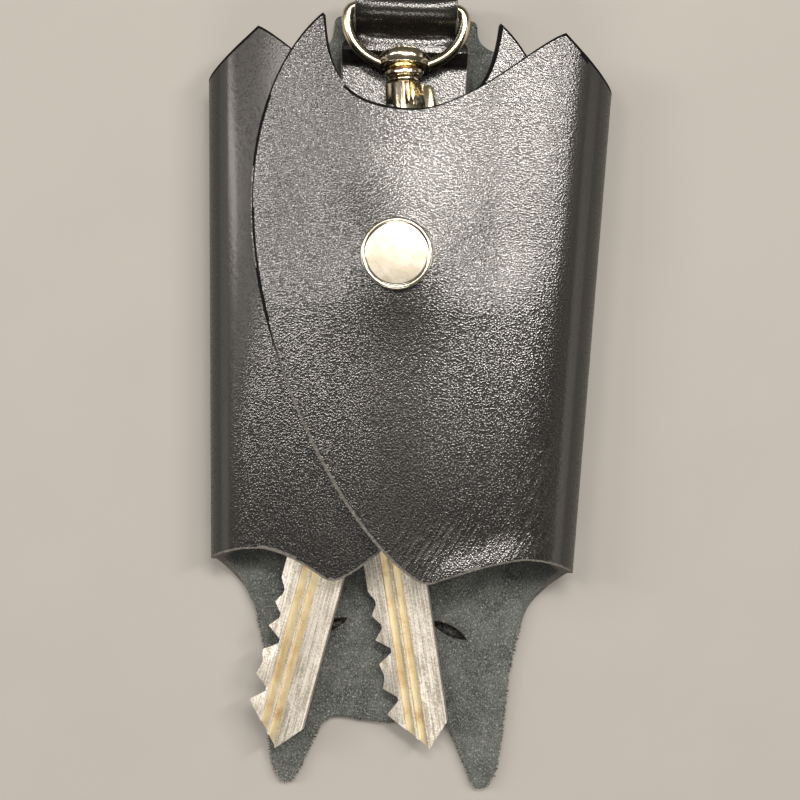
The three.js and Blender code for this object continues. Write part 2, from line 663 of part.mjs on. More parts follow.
function keySolid() {
  const tip = new THREE.Vector2(0.28 * bladeHalf, -keyLength);
  const rightCorner = -keyLength + 0.84 * bladeHalf;
  const leftCorner = -keyLength + 1.28 * bladeHalf;
  const bowMiddle = -0.45 * bowRadius;
  const root = Math.asin((bladeHalf + gap) / bowRadius);
  const neck = bowMiddle - bowRadius * Math.cos(root);
  const cuts = 5;
  const pitch = 0.84 * bladeHalf;
  const outline = new THREE.Shape();
  outline.moveTo(bladeHalf, neck - 2 * gap);
  outline.absarc(0, bowMiddle, bowRadius, -Math.PI / 2 + root, 1.5 * Math.PI - root, false);
  outline.lineTo(-bladeHalf, neck - 2 * gap);
  for (let i = cuts; i > 0; i--) {
    const middle = leftCorner + (i - 0.35) * pitch;
    const depth = 0.21 * bladeHalf * (1.5 + Math.sin(2.4 * i));
    outline.lineTo(-bladeHalf, middle + pitch / 2);
    outline.lineTo(-bladeHalf + depth, middle + gap);
    outline.lineTo(-bladeHalf + depth, middle - gap);
  }
  outline.lineTo(-bladeHalf, leftCorner + gap);
  outline.lineTo(tip.x, tip.y);
  outline.lineTo(bladeHalf, rightCorner);
  outline.holes.push(new THREE.Path().absarc(0, 0, keyHole, 0, 2 * Math.PI, true));
  let key = prism(outline, -keyThick / 2, keyThick / 2);
  const depth = 0.28 * keyThick;
  const groove = 0.28 * bladeHalf;
  const grooves = [[-0.42 * bladeHalf, 1], [-0.05 * bladeHalf, 1], [0.28 * bladeHalf, -1]];
  for (const [left, face] of grooves) {
    const level = face * keyThick / 2;
    const low = new THREE.Vector3(left, -2 * keyLength, Math.min(level, level - face * depth));
    const high = new THREE.Vector3(left + groove, neck - bladeHalf, Math.max(level + face, level - face * depth));
    if (face < 0) low.z = level - keyThick;
    key = key.subtract(box(low, high));
  }
  return key;
}

// Assembly

const cover = new THREE.Group();
cover.name = 'leather_key_cover';

const rightToe = at(0.185, -0.484);
const leftToe = at(0.3, -0.492);
cover.add(mesh('back_panel', panelSolid(), 'grain'));
cover.add(mesh('right_side', sideSolid('right'), 'grain'));
cover.add(mesh('right_wing', snapHole(wingSolid('right', rightToe)), 'grain'));
cover.add(mesh('left_side', sideSolid('left'), 'grain'));
cover.add(mesh('left_wing', snapHole(wingSolid('left', leftToe)), 'grain'));

const snapParts = [
  ['snap_cap', snapCap()], ['snap_socket', snapSocket()], ['snap_spring', snapSpring()],
  ['snap_stud', snapStud()], ['snap_eyelet', snapEyelet()],
];
for (const [name, solid] of snapParts) {
  cover.add(mesh(name, solid.translate([hardwareX, snapY, 0]), name === 'snap_spring' ? 'steel' : 'nickel'));
}

cover.add(mesh('hanger_strap', strapSolid(), 'grain'));
for (const [side, sign] of [['left', -1], ['right', 1]]) {
  const spot = [hardwareX + sign * rivetSpread, rivetY, 0];
  cover.add(mesh(`${side}_rivet_foot`, rivetFoot().translate(spot), 'nickel'));
  cover.add(mesh(`${side}_rivet_cap`, rivetCap().translate(spot), 'nickel'));
}

cover.add(mesh('clasp_eye', claspEye(), 'nickel'));
const clasp = new THREE.Group();
clasp.position.set(hardwareX, bossY, claspZ);
clasp.rotation.set(0, claspRoll, claspLean, 'ZYX');
clasp.add(mesh('clasp_hook', claspHook(), 'nickel'));
clasp.add(mesh('clasp_trigger', claspTrigger(), 'nickel'));
clasp.add(mesh('trigger_pin', triggerPin(), 'steel'));
clasp.add(mesh('trigger_spring', triggerSpring(), 'steel'));
cover.add(clasp);

// A key's frame, hung from the hook by the hole in its bow and turned in the plane of the cover.
clasp.updateMatrixWorld(true);
const hookFoot = clasp.localToWorld(new THREE.Vector3(0, -hookDrop, 0));

function keyGroup(name, hang, turn, height) {
  const group = new THREE.Group();
  group.position.set(hookFoot.x + hang.x, hookFoot.y + hang.y, height);
  group.rotation.set(0, keyRoll, turn, 'ZYX');
  group.add(mesh(name, keySolid(), 'key'));
  return group;
}

const leftKey = keyGroup('left_key', leftKeyHang, leftKeyTurn, highKeyZ);
const rightKey = keyGroup('right_key', rightKeyHang, rightKeyTurn, lowKeyZ);
cover.add(leftKey, rightKey);

// The ring hangs in the hook and passes down through both bows, rolled so that it clears them.
const ringTop = clasp.localToWorld(new THREE.Vector3(0, -hookDrop + (hookWidth + ringWidth) / 2 + 3 * gap, -gap));
const ringFoot = new THREE.Vector3().addVectors(leftKey.position, rightKey.position).multiplyScalar(0.5);
ringFoot.z -= gap;
const ringLine = new THREE.Vector3().subVectors(ringTop, ringFoot);
const ring = new THREE.Group();
const ringUp = ringLine.clone().normalize();
const ringSide = new THREE.Vector3().crossVectors(ringUp, new THREE.Vector3(0, 0, 1)).normalize();
const ringNormal = new THREE.Vector3().crossVectors(ringSide, ringUp);
ring.matrixAutoUpdate = false;
ring.matrix.makeBasis(ringSide, ringUp, ringNormal);
ring.matrix.multiply(new THREE.Matrix4().makeRotationY(ringRoll));
const ringRadius = (ringLine.length() - keyHole / 4) / 2;
ring.matrix.setPosition(ringTop.clone().addScaledVector(ringUp, -ringRadius));
ring.add(mesh('key_ring', keyRing(ringRadius), 'steel'));
cover.add(ring);

// The middle of the whole is the part's origin, its underside at zero.
cover.updateMatrixWorld(true);
const bounds = new THREE.Box3().setFromObject(cover, true);
const centre = bounds.getCenter(new THREE.Vector3());
const home = new THREE.Group();
cover.position.set(-centre.x, -centre.y, -bounds.min.z);
home.add(cover);
home.name = 'leather_key_cover_at_home';

// Where the pieces turn: a point on each axis and its direction, in the part's own frame.
home.updateMatrixWorld(true);
const carried = (frame, point, axis) => ({
  point: frame.localToWorld(point).toArray(),
  axis: axis.transformDirection(frame.matrixWorld).toArray(),
});
const foldAxis = (side, angle) => {
  const reach = bends[side] + leather / 2;
  const x = bendCentreX(bends[side]) + reach * Math.cos(angle);
  const z = bendCentreZ(bends[side]) + reach * Math.sin(angle);
  const sign = side === 'left' ? -1 : 1;
  const axis = new THREE.Vector3((sign * x * taper) / halfWidth, 1, 0).normalize().multiplyScalar(sign);
  return carried(cover, new THREE.Vector3(sign * x, 0, z), axis);
};
const up = () => new THREE.Vector3(0, 0, 1);
home.userData.axes = {
  right_side_fold: foldAxis('right', -foldSplit),
  right_wing_fold: foldAxis('right', foldSplit),
  left_side_fold: foldAxis('left', -foldSplit),
  left_wing_fold: foldAxis('left', foldSplit),
  clasp_swivel: carried(clasp, new THREE.Vector3(), new THREE.Vector3(0, -1, 0)),
  clasp_trigger: carried(clasp, new THREE.Vector3(pinAt.x, pinAt.y, 0), up()),
  key_ring_turn: carried(ring, new THREE.Vector3(), up()),
  left_key_swing: carried(leftKey, new THREE.Vector3(), up()),
  right_key_swing: carried(rightKey, new THREE.Vector3(), up()),
};

export default home;
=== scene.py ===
"""A black leather key cover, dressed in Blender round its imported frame.

The blank is cut as a hanging bat. Its wings fold over the front and snap shut,
the head and ears stand out below, and a strap at the tail carries a trigger
snap with two keys. Sizes are in millimetres, meshes in metres.
"""

import json
import logging
import math
import random
from contextlib import contextmanager
from dataclasses import dataclass
from enum import Enum
from functools import cached_property, partial
from typing import Any, Callable, Iterator, Sequence

import bpy
import numpy as np
from mathutils import Matrix, Vector


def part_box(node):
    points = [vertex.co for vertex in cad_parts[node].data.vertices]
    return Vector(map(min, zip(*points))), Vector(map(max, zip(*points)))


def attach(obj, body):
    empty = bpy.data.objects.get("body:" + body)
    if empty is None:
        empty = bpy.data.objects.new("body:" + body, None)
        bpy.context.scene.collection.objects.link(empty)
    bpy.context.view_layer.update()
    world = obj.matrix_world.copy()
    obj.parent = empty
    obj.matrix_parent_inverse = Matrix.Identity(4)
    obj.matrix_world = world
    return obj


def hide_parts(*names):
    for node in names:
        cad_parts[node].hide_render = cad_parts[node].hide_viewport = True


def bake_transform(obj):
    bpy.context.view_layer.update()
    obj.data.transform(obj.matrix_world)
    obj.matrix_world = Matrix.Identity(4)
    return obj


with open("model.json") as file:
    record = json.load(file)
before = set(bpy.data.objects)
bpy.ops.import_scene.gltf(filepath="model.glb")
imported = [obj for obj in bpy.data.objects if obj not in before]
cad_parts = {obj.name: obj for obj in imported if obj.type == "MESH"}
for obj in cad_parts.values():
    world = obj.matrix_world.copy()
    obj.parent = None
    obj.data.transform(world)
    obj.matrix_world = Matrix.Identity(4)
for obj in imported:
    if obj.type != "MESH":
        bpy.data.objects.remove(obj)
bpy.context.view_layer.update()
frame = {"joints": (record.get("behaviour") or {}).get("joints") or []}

log = logging.getLogger("key_cover")

MM = 0.001
ON_SEAM = 0.02  # a point this near to a seam lies on it
HALVINGS = 60  # steps of a search by halves
STEEPEST = 1.2  # radians
Point = tuple[float, float]
Array = np.ndarray
Piece = bpy.types.Object
Material = bpy.types.Material
Shell = tuple[list[Vector], list[list[int]]]
Node = Callable[..., bpy.types.NodeSocket]
Values = dict[str | int, Any]
Feeds = dict[str | int, bpy.types.NodeSocket]


class Side(Enum):
    """The two sides of the cover, as the sign of X."""

    LEFT = -1
    RIGHT = 1

    @property
    def word(self) -> str:
        """The side's name in node names."""
        return self.name.lower()


class Coat(Enum):
    """Material slots of a leather piece, in the order that they are added."""

    GRAIN = 0
    FLESH = 1
    EDGE = 2


def linear(colour: str) -> tuple[float, float, float, float]:
    """Turns an sRGB hex colour into linear light.

    Args:
        colour: Colour such as "#c8bda9".

    Returns:
        Red, green, blue and alpha for a shader socket.
    """
    parts = [int(colour[i : i + 2], 16) / 255 for i in (1, 3, 5)]
    light = [p / 12.92 if p <= 0.04045 else ((p + 0.055) / 1.055) ** 2.4 for p in parts]
    return light[0], light[1], light[2], 1.0


def add_node(
    tree: bpy.types.NodeTree,
    kind: str,
    out: str | int = 0,
    values: Values | None = None,
    links: Feeds | None = None,
) -> bpy.types.NodeSocket | None:
    """Adds a node with its settings and links.

    Args:
        tree: Node tree to add to.
        kind: Node type, less the prefix that all of them share.
        out: Name or number of the output that is handed on.
        values: Fields of the node, or default values of its inputs.
        links: Inputs and the outputs that feed them.

    Returns:
        That output, or None from a node without outputs.
    """
    node = tree.nodes.new("ShaderNode" + kind)
    for name, value in (values or {}).items():
        if isinstance(name, str) and name not in node.inputs:
            setattr(node, name, value)
    for name, value in (values or {}).items():
        if isinstance(name, int) or name in node.inputs:
            node.inputs[name].default_value = value
    for name, source in (links or {}).items():
        tree.links.new(source, node.inputs[name])
    return node.outputs[out] if len(node.outputs) else None


def blank_material(name: str) -> tuple[Material, Node]:
    """Makes a material with an empty node tree.

    Args:
        name: Name of the real material and how it is made.

    Returns:
        The material, and what adds a node to its tree.
    """
    material = bpy.data.materials.new(name)
    material.use_nodes = True
    material.node_tree.nodes.clear()
    return material, partial(add_node, material.node_tree)


def close_material(node: Node, values: Values, links: Feeds) -> None:
    """Ends a tree with a principled shader."""
    shader = node("BsdfPrincipled", "BSDF", values, links)
    node("OutputMaterial", 0, None, {"Surface": shader})


def linked(name: str, data: bpy.types.ID) -> Piece:
    """Adds an object to the scene.

    Args:
        name: Name of the object.
        data: Its mesh, curve, lamp or camera.

    Returns:
        The object.
    """
    obj = bpy.data.objects.new(name, data)
    bpy.context.scene.collection.objects.link(obj)
    return obj


def shaped(name: str, points: Sequence[Any], edges: Sequence[Any], faces: Sequence[Any]) -> Piece:
    """Adds a mesh.

    Args:
        name: Name of the piece.
        points: Its points in metres.
        edges: Pairs of point numbers.
        faces: Rounds of point numbers.

    Returns:
        The mesh object.
    """
    mesh = bpy.data.meshes.new(name)
    mesh.from_pydata(points, edges, faces)
    return linked(name, mesh)


def clear_selection() -> None:
    """Leaves object mode clean, with nothing selected."""
    bpy.ops.object.select_all(action="DESELECT")


def activate(obj: Piece) -> None:
    """Makes one object the selected and active one.

    Args:
        obj: Object to work on.
    """
    clear_selection()
    obj.select_set(True)
    bpy.context.view_layer.objects.active = obj


@contextmanager
def editing(obj: Piece, whole: bool = True) -> Iterator[None]:
    """Opens a mesh for edit-mode operators.

    Args:
        obj: Mesh object.
        whole: True to select all of it first.

    Yields:
        Nothing; the mesh is left in object mode.
    """
    activate(obj)
    bpy.ops.object.mode_set(mode="EDIT")
    if whole:
        bpy.ops.mesh.select_all(action="SELECT")
    yield
    bpy.ops.object.mode_set(mode="OBJECT")


def apply_modifier(obj: Piece, kind: str, **settings: Any) -> None:
    """Adds a modifier and applies it.

    Args:
        obj: Object to change.
        kind: Modifier type.
        **settings: Fields of the modifier.
    """
    modifier = obj.modifiers.new(kind.lower(), kind)
    for name, value in settings.items():
        setattr(modifier, name, value)
    activate(obj)
    bpy.ops.object.modifier_apply(modifier=modifier.name)


def bevel(obj: Piece, width: float, segments: int, **settings: Any) -> None:
    """Rounds edges by a width in millimetres."""
    apply_modifier(obj, "BEVEL", width=width * MM, segments=segments, **settings)


def column(rows: Any, field: str, kind: type = np.int32, width: int = 1) -> Array:
    """Reads one field of every point, edge, corner or face of a mesh.

    Args:
        rows: Where to read.
        field: Field to read.
        kind: Type of its numbers.
        width: Numbers in each row.

    Returns:
        One number, or one row of numbers, for each.
    """
    flat = np.empty(len(rows) * width, dtype=kind)
    rows.foreach_get(field, flat)
    return flat if width == 1 else flat.reshape(-1, width)


def points_of(obj: Piece) -> Array:
    """Reads the points of a mesh, one row of X, Y and Z in millimetres for each."""
    return column(obj.data.vertices, "co", np.float64, 3) / MM


def set_points(obj: Piece, points: Array) -> None:
    """Moves the points of a mesh."""
    obj.data.vertices.foreach_set("co", (points * MM).ravel())
    obj.data.update()


def face_out(obj: Piece) -> None:
    """Turns every face of a closed mesh outward."""
    with editing(obj):
        bpy.ops.mesh.normals_make_consistent(inside=False)


def smooth(obj: Piece, degrees: float = 32.0) -> None:
    """Shades a mesh smooth up to an angle."""
    activate(obj)
    bpy.ops.object.shade_smooth_by_angle(angle=math.radians(degrees))


def mark(obj: Piece, name: str, values: Array) -> None:
    """Stores a value for each point, for a material to read.

    Args:
        obj: Mesh object.
        name: Attribute name.
        values: One number, or one row of three, for each point.
    """
    vector = values.ndim == 2
    kind, key = ("FLOAT_VECTOR", "vector") if vector else ("FLOAT", "value")
    attribute = obj.data.attributes.new(name, kind, "POINT")
    attribute.data.foreach_set(key, np.ascontiguousarray(values, dtype=np.float32).ravel())


def dress(obj: Piece, *materials: Material) -> None:
    """Gives an object its material slots.

    Args:
        obj: Object to dress.
        *materials: Materials in slot order.
    """
    obj.data.materials.clear()
    for material in materials:
        obj.data.materials.append(material)


def edge_points(obj: Piece) -> tuple[Array, Array]:
    """Finds which edges part a cut edge from a leather face.

    Args:
        obj: Mesh whose rim faces carry the cut-edge slot.

    Returns:
        The two point numbers of each edge, and True where it is such an edge.
    """
    mesh = obj.data
    loops = column(mesh.loops, "edge_index")
    slots = column(mesh.polygons, "material_index")
    rim = np.repeat(slots == Coat.EDGE.value, column(mesh.polygons, "loop_total"))
    rims = np.bincount(loops[rim], minlength=len(mesh.edges))
    faces = np.bincount(loops[~rim], minlength=len(mesh.edges))
    return column(mesh.edges, "vertices", width=2), (rims == 1) & (faces == 1)


def bezier(points: Sequence[Point], steps: int) -> Array:
    """Samples a Bezier curve of any degree.

    Args:
        points: Control points.
        steps: Number of spans.

    Returns:
        One row of X and Y for each sample, both ends included.
    """
    along = np.linspace(0, 1, steps + 1)
    order = len(points) - 1
    total = np.zeros((steps + 1, 2))
    for i, point in enumerate(points):
        weight = math.comb(order, i) * along**i * (1 - along) ** (order - i)
        total += weight[:, None] * np.array(point)
    return total


def joined(*runs: Array) -> Array:
    """Joins sampled curves end to end, each end point once."""
    return np.concatenate([runs[0]] + [run[1:] for run in runs[1:]])


def spread(curves: Sequence[Array], count: int) -> Array:
    """Spaces points along curves, with one on every joint between them.

    Args:
        curves: Sampled curves, end to end.
        count: Number of spans in all.

    Returns:
        One row for each of the count + 1 points.
    """
    runs = [np.concatenate([[0], np.cumsum(np.hypot(*np.diff(c, axis=0).T))]) for c in curves]
    ends = np.cumsum([run[-1] for run in runs])
    stops = [0] + [round(count * end / ends[-1]) for end in ends]
    rows = [curves[0][:1]]
    for curve, run, first, last in zip(curves, runs, stops, stops[1:]):
        wanted = np.linspace(0, run[-1], last - first + 1)[1:]
        rows.append(np.stack([np.interp(wanted, run, curve[:, i]) for i in (0, 1)], axis=1))
    return np.concatenate(rows)


def ramp(low: float, high: float, value: Array) -> Array:
    """Eases from 0 at one value to 1 at another."""
    share = np.clip((value - low) / (high - low), 0, 1)
    return share * share * (3 - 2 * share)


def sheet(name: str, columns: int, rows: int, place: Callable[[Array, Array], Array]) -> Piece:
    """Adds a grid and lays it in place.

    Args:
        name: Name of the piece.
        columns: Spans across.
        rows: Spans along.
        place: Gives points in millimetres for shares across and along.

    Returns:
        The grid, laid.
    """
    clear_selection()
    bpy.ops.mesh.primitive_grid_add(x_subdivisions=columns, y_subdivisions=rows, size=2)
    obj = bpy.context.object
    obj.name = name
    flat = points_of(obj) * MM
    set_points(obj, place((flat[:, 0] + 1) / 2, (flat[:, 1] + 1) / 2))
    return obj


def turned(name: str, profile: Sequence[Point], steps: int = 96) -> Piece:
    """Turns a profile round the Z axis.

    Args:
        name: Name of the piece.
        profile: Radius and height in millimetres, from axis to axis.
        steps: Steps of the turn.

    Returns:
        A closed round piece.
    """
    points = [(r * MM, 0, z * MM) for r, z in profile]
    obj = shaped(name, points, [(i, i + 1) for i in range(len(points) - 1)], [])
    apply_modifier(obj, "SCREW", steps=steps, render_steps=steps)
    with editing(obj):
        bpy.ops.mesh.remove_doubles(threshold=MM * 0.0005)
        bpy.ops.mesh.normals_make_consistent(inside=False)
    return obj


def moved(obj: Piece, matrix: Matrix) -> None:
    """Moves a mesh by a matrix in millimetres, leaving its object at the origin."""
    grid = np.array(matrix)
    set_points(obj, points_of(obj) @ grid[:3, :3].T + grid[:3, 3])


def cut(obj: Piece, tool: Piece) -> None:
    """Cuts one mesh out of another and drops the cutter."""
    apply_modifier(obj, "BOOLEAN", object=tool, operation="DIFFERENCE", solver="EXACT")
    bpy.data.objects.remove(tool)


def joint_of(name: str) -> dict[str, Any]:
    """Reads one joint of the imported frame."""
    return next(j for j in frame["joints"] if j["name"] == name)


@dataclass(frozen=True)
class GrainLeather:
    """Outside of the hide: pebbled black grain that pulls smooth over the folds."""

    pebble: float = 0.27
    relief: float = 0.024
    film_share: float = 0.8
    crease_gap: float = 0.5
    crease_depth: float = 13.0
    crease_slant: float = 30.0
    crease_stretch: float = 7.0
    # valley and crest: painted shade in the pebble hollows and painted highlight on the pebble tops
    valley: str = "#010101"
    crest: str = "#1f1d1b"
    # painted highlight on the wrinkle crests
    streak: str = "#4a4742"
    # warm tint where the grain is pulled smooth: partly the paler stretched leather, partly a painted
    # reflection
    pulled: str = "#221f1b"
    gloss: float = 0.13
    dull: float = 0.4
    satin: float = 0.25
    finish: float = 1.0
    finish_gloss: float = 0.18
    finish_index: float = 1.75
    sunk: float = 0.3

    def material(self) -> Material:
        """Builds the material.

        Returns:
            The material.
        """
        # Sealed grain: a small glint on each pebble with deep black between, and a satin sheen with faint
        # lines where a fold pulls it smooth. The colour paints part of this light: pebble tops paler as
        # painted highlight, hollows near black as painted shade, painted highlight lines on the wrinkle
        # crests, and a warm tint on the pulled grain that is partly the paler stretched leather and partly a
        # painted reflection.
        material, node = blank_material("black_leather_pebbled_grain")
        place = node("Attribute", "Vector", {"attribute_name": "blank_mm"})
        pull = node("Attribute", "Fac", {"attribute_name": "pull"})
        crease = node("Attribute", "Fac", {"attribute_name": "crease"})
        slant = (0, 0, math.radians(self.crease_slant))
        drawing = {"vector_type": "TEXTURE", "Rotation": slant, "Scale": (1.0, self.crease_stretch, 1.0)}
        drawn = node("Mapping", "Vector", drawing, {"Vector": place})
        drift = node("TexNoise", "Color", {"Scale": 1 / self.pebble, "Detail": 1.0}, {"Vector": place})
        bent = node(
            "VectorMath", "Vector",
            {"operation": "MULTIPLY_ADD", 1: (self.pebble * 0.6,) * 3},
            {0: drift, 2: place},
        )
        cells = node("TexVoronoi", "Distance", {"feature": "F1", "Scale": 1 / self.pebble}, {"Vector": bent})
        pebbles = node(
            "MapRange", "Result",
            {"From Min": 0.15, "From Max": 0.75, "To Min": 1.0, "To Max": 0.0},
            {"Value": cells},
        )
        grained = node("MapRange", "Result", {"To Min": 1.0, "To Max": 0.10}, {"Value": pull})
        knobs = node("Math", "Value", {"operation": "MULTIPLY"}, {0: pebbles, 1: grained})
        wrinkle = node(
            "TexNoise", "Fac",
            {"Scale": 1 / self.crease_gap, "Detail": 3.0, "Roughness": 0.55},
            {"Vector": drawn},
        )
        folded = node("Math", "Value", {"operation": "MULTIPLY"}, {0: wrinkle, 1: crease})
        depth = node(
            "Math", "Value", {"operation": "MULTIPLY_ADD", 1: -self.crease_depth}, {0: folded, 2: knobs}
        )
        bump = node("Bump", "Normal", {"Strength": 1.0, "Distance": self.relief * MM}, {"Height": depth})
        film = node(
            "Bump", "Normal",
            {"Strength": 1.0, "Distance": self.relief * self.film_share * MM},
            {"Height": depth},
        )
        # Painted light on the grain: paler pebble tops as painted highlight, near-black hollows as painted
        # shade.
        shade = node("MapRange", "Result", {"From Min": 0.02, "From Max": 0.5}, {"Value": pebbles})
        tone = node(
            "Mix", 2, {"data_type": "RGBA", 6: linear(self.valley), 7: linear(self.crest)}, {0: shade}
        )
        # Painted highlight lines along the wrinkle crests.
        ridges = node(
            "MapRange", "Result", {"From Min": 0.5, "From Max": 0.66, "To Max": 1.8}, {"Value": wrinkle}
        )
        crease_painted_highlight = node("Math", "Value", {"operation": "MULTIPLY", "use_clamp": True}, {0: ridges, 1: crease})
        lined = node("Mix", 2, {"data_type": "RGBA", 7: linear(self.streak)}, {0: crease_painted_highlight, 6: tone})
        # Warm tint on the pulled grain: partly the paler stretched leather, partly a painted reflection.
        colour = node("Mix", 2, {"data_type": "RGBA", 7: linear(self.pulled)}, {0: pull, 6: lined})
        worn = node("MapRange", "Result", {"To Min": self.dull, "To Max": self.gloss}, {"Value": shade})
        rough = node("Math", "Value", {"operation": "MULTIPLY_ADD", 1: self.satin}, {0: pull, 2: worn})
        rubbed_off = node(
            "MapRange", "Result", {"To Min": self.finish, "To Max": self.finish * 0.3}, {"Value": pull}
        )
        level = node("MapRange", "Result", {"To Min": self.sunk, "To Max": 1.0}, {"Value": shade})
        eased = node("Mix", 0, {"data_type": "FLOAT", 3: 0.75}, {0: pull, 2: level})
        sealed = node("Math", "Value", {"operation": "MULTIPLY"}, {0: rubbed_off, 1: eased})
        coat = {"Specular IOR Level": 0.4, "Coat Roughness": self.finish_gloss, "Coat IOR": self.finish_index}
        feeds = {"Base Color": colour, "Roughness": rough, "Coat Weight": sealed}
        close_material(node, coat, feeds | {"Normal": bump, "Coat Normal": film})
        return material


@dataclass(frozen=True)
class FleshLeather:
    """Inside of the hide: a matt grey-green nap with pale fibres."""

    nap: float = 0.22
    blotch: float = 4.0
    relief: float = 0.12
    dark: str = "#262b2a"
    light: str = "#7b807c"
    fibre: str = "#c4c6c0"

    def material(self) -> Material:
        """Builds the material.

        Returns:
            The material.
        """
        # Unsealed underside: a dull mottled nap with pale fibre ends. Real fibres are too fine to
        # show, so they are drawn as coarse as they need to be.
        material, node = blank_material("black_leather_flesh_nap")
        place = node("Attribute", "Vector", {"attribute_name": "blank_mm"})
        mottle = node(
            "TexNoise", "Fac", {"Scale": 1 / self.blotch, "Detail": 4.0, "Roughness": 0.65}, {"Vector": place}
        )
        combed = node(
            "Mapping", "Vector",
            {"vector_type": "TEXTURE", "Rotation": (0, 0, math.radians(24)), "Scale": (1.0, 1.3, 1.0)},
            {"Vector": place},
        )
        nap = node(
            "TexNoise", "Fac", {"Scale": 1 / self.nap, "Detail": 4.0, "Roughness": 0.7}, {"Vector": combed}
        )
        mixed = node("Math", "Value", {"operation": "MULTIPLY_ADD", 1: 2.0}, {0: nap, 2: mottle})
        share = node("MapRange", "Result", {"From Min": 1.15, "From Max": 1.9}, {"Value": mixed})
        base = node("Mix", 2, {"data_type": "RGBA", 6: linear(self.dark), 7: linear(self.light)}, {0: share})
        specks = node(
            "TexNoise", "Fac", {"Scale": 1.4 / self.nap, "Detail": 1.0, "Roughness": 0.5}, {"Vector": combed}
        )
        pale = node(
            "MapRange", "Result", {"From Min": 0.62, "From Max": 0.74, "To Max": 0.8}, {"Value": specks}
        )
        colour = node("Mix", 2, {"data_type": "RGBA", 7: linear(self.fibre)}, {0: pale, 6: base})
        bump = node("Bump", "Normal", {"Strength": 1.0, "Distance": self.relief * MM}, {"Height": mixed})
        close_material(
            node,
            {"Roughness": 0.95, "Specular IOR Level": 0.2, "Sheen Weight": 0.25, "Sheen Roughness": 0.6},
            {"Base Color": colour, "Normal": bump},
        )
        return material


@dataclass(frozen=True)
class CutLeather:
    """Raw cut edge of the hide, grey and fibrous, or black as a painted shadow line."""

    fibre: float = 0.3
    dark: str = "#3c3b38"
    light: str = "#8b8881"
    # black of the painted shadow line along a wing's upper borders
    dye: str = "#050505"

    def material(self) -> Material:
        """Builds the material.

        Returns:
            The material.
        """
        # Section of the hide: a dull pale line of fibres where it is bare, and a black painted shadow line
        # where the piece marks it, standing in for the dark gap under a wing's edge.
        material, node = blank_material("black_leather_raw_cut")
        place = node("Attribute", "Vector", {"attribute_name": "blank_mm"})
        strands = node(
            "TexNoise", "Fac", {"Scale": 1 / self.fibre, "Detail": 4.0, "Roughness": 0.7}, {"Vector": place}
        )
        share = node("MapRange", "Result", {"From Min": 0.3, "From Max": 0.75}, {"Value": strands})
        colour = node(
            "Mix", 2, {"data_type": "RGBA", 6: linear(self.dark), 7: linear(self.light)}, {0: share}
        )
        # Painted shadow: where marked, the edge turns black for the dark gap under a wing's edge.
        dyed = node("Attribute", "Fac", {"attribute_name": "dyed"})
        colour = node("Mix", 2, {"data_type": "RGBA", 7: linear(self.dye)}, {0: dyed, 6: colour})
        bump = node("Bump", "Normal", {"Strength": 0.8, "Distance": 0.1 * MM}, {"Height": strands})
        close_material(
            node, {"Roughness": 0.9, "Specular IOR Level": 0.25}, {"Base Color": colour, "Normal": bump}
        )
        return material


@dataclass(frozen=True)
class PlatedMetal:
    """Bright plating on brass or steel, with hairline wear."""

    name: str
    bright: str
    worn: str
    gloss: float
    hair: float = 0.5

    def material(self) -> Material:
        """Builds the material.

        Returns:
            The material.
        """
        # Polished plate: clear reflections that waver a little, and a warmer tone where it is worn.
        # Real hairlines are too fine to show, so they are drawn as coarse as they need to be.
        material, node = blank_material(self.name)
        place = node("TexCoord", "Object")
        drawn = node(
            "Mapping", "Vector",
            {"vector_type": "TEXTURE", "Rotation": (0, 0, math.radians(35)), "Scale": (1.0, 16.0, 1.0)},
            {"Vector": place},
        )
        hairs = node(
            "TexNoise", "Fac",
            {"Scale": 1 / (self.hair * MM), "Detail": 3.0, "Roughness": 0.6},
            {"Vector": drawn},
        )
        swirl = node("TexNoise", "Fac", {"Scale": 1 / (2.5 * MM), "Detail": 3.0}, {"Vector": place})
        share = node("MapRange", "Result", {"From Min": 0.42, "From Max": 0.72}, {"Value": swirl})
        colour = node(
            "Mix", 2, {"data_type": "RGBA", 6: linear(self.bright), 7: linear(self.worn)}, {0: share}
        )
        rough = node(
            "MapRange", "Result",
            {"From Min": 0.35, "From Max": 0.7, "To Min": self.gloss * 0.9, "To Max": self.gloss * 1.15},
            {"Value": hairs},
        )
        ripple = node("Math", "Value", {"operation": "MULTIPLY_ADD", 1: 0.25}, {0: hairs, 2: swirl})
        bump = node("Bump", "Normal", {"Strength": 0.5, "Distance": 0.03 * MM}, {"Height": ripple})
        close_material(node, {"Metallic": 1.0}, {"Base Color": colour, "Roughness": rough, "Normal": bump})
        return material


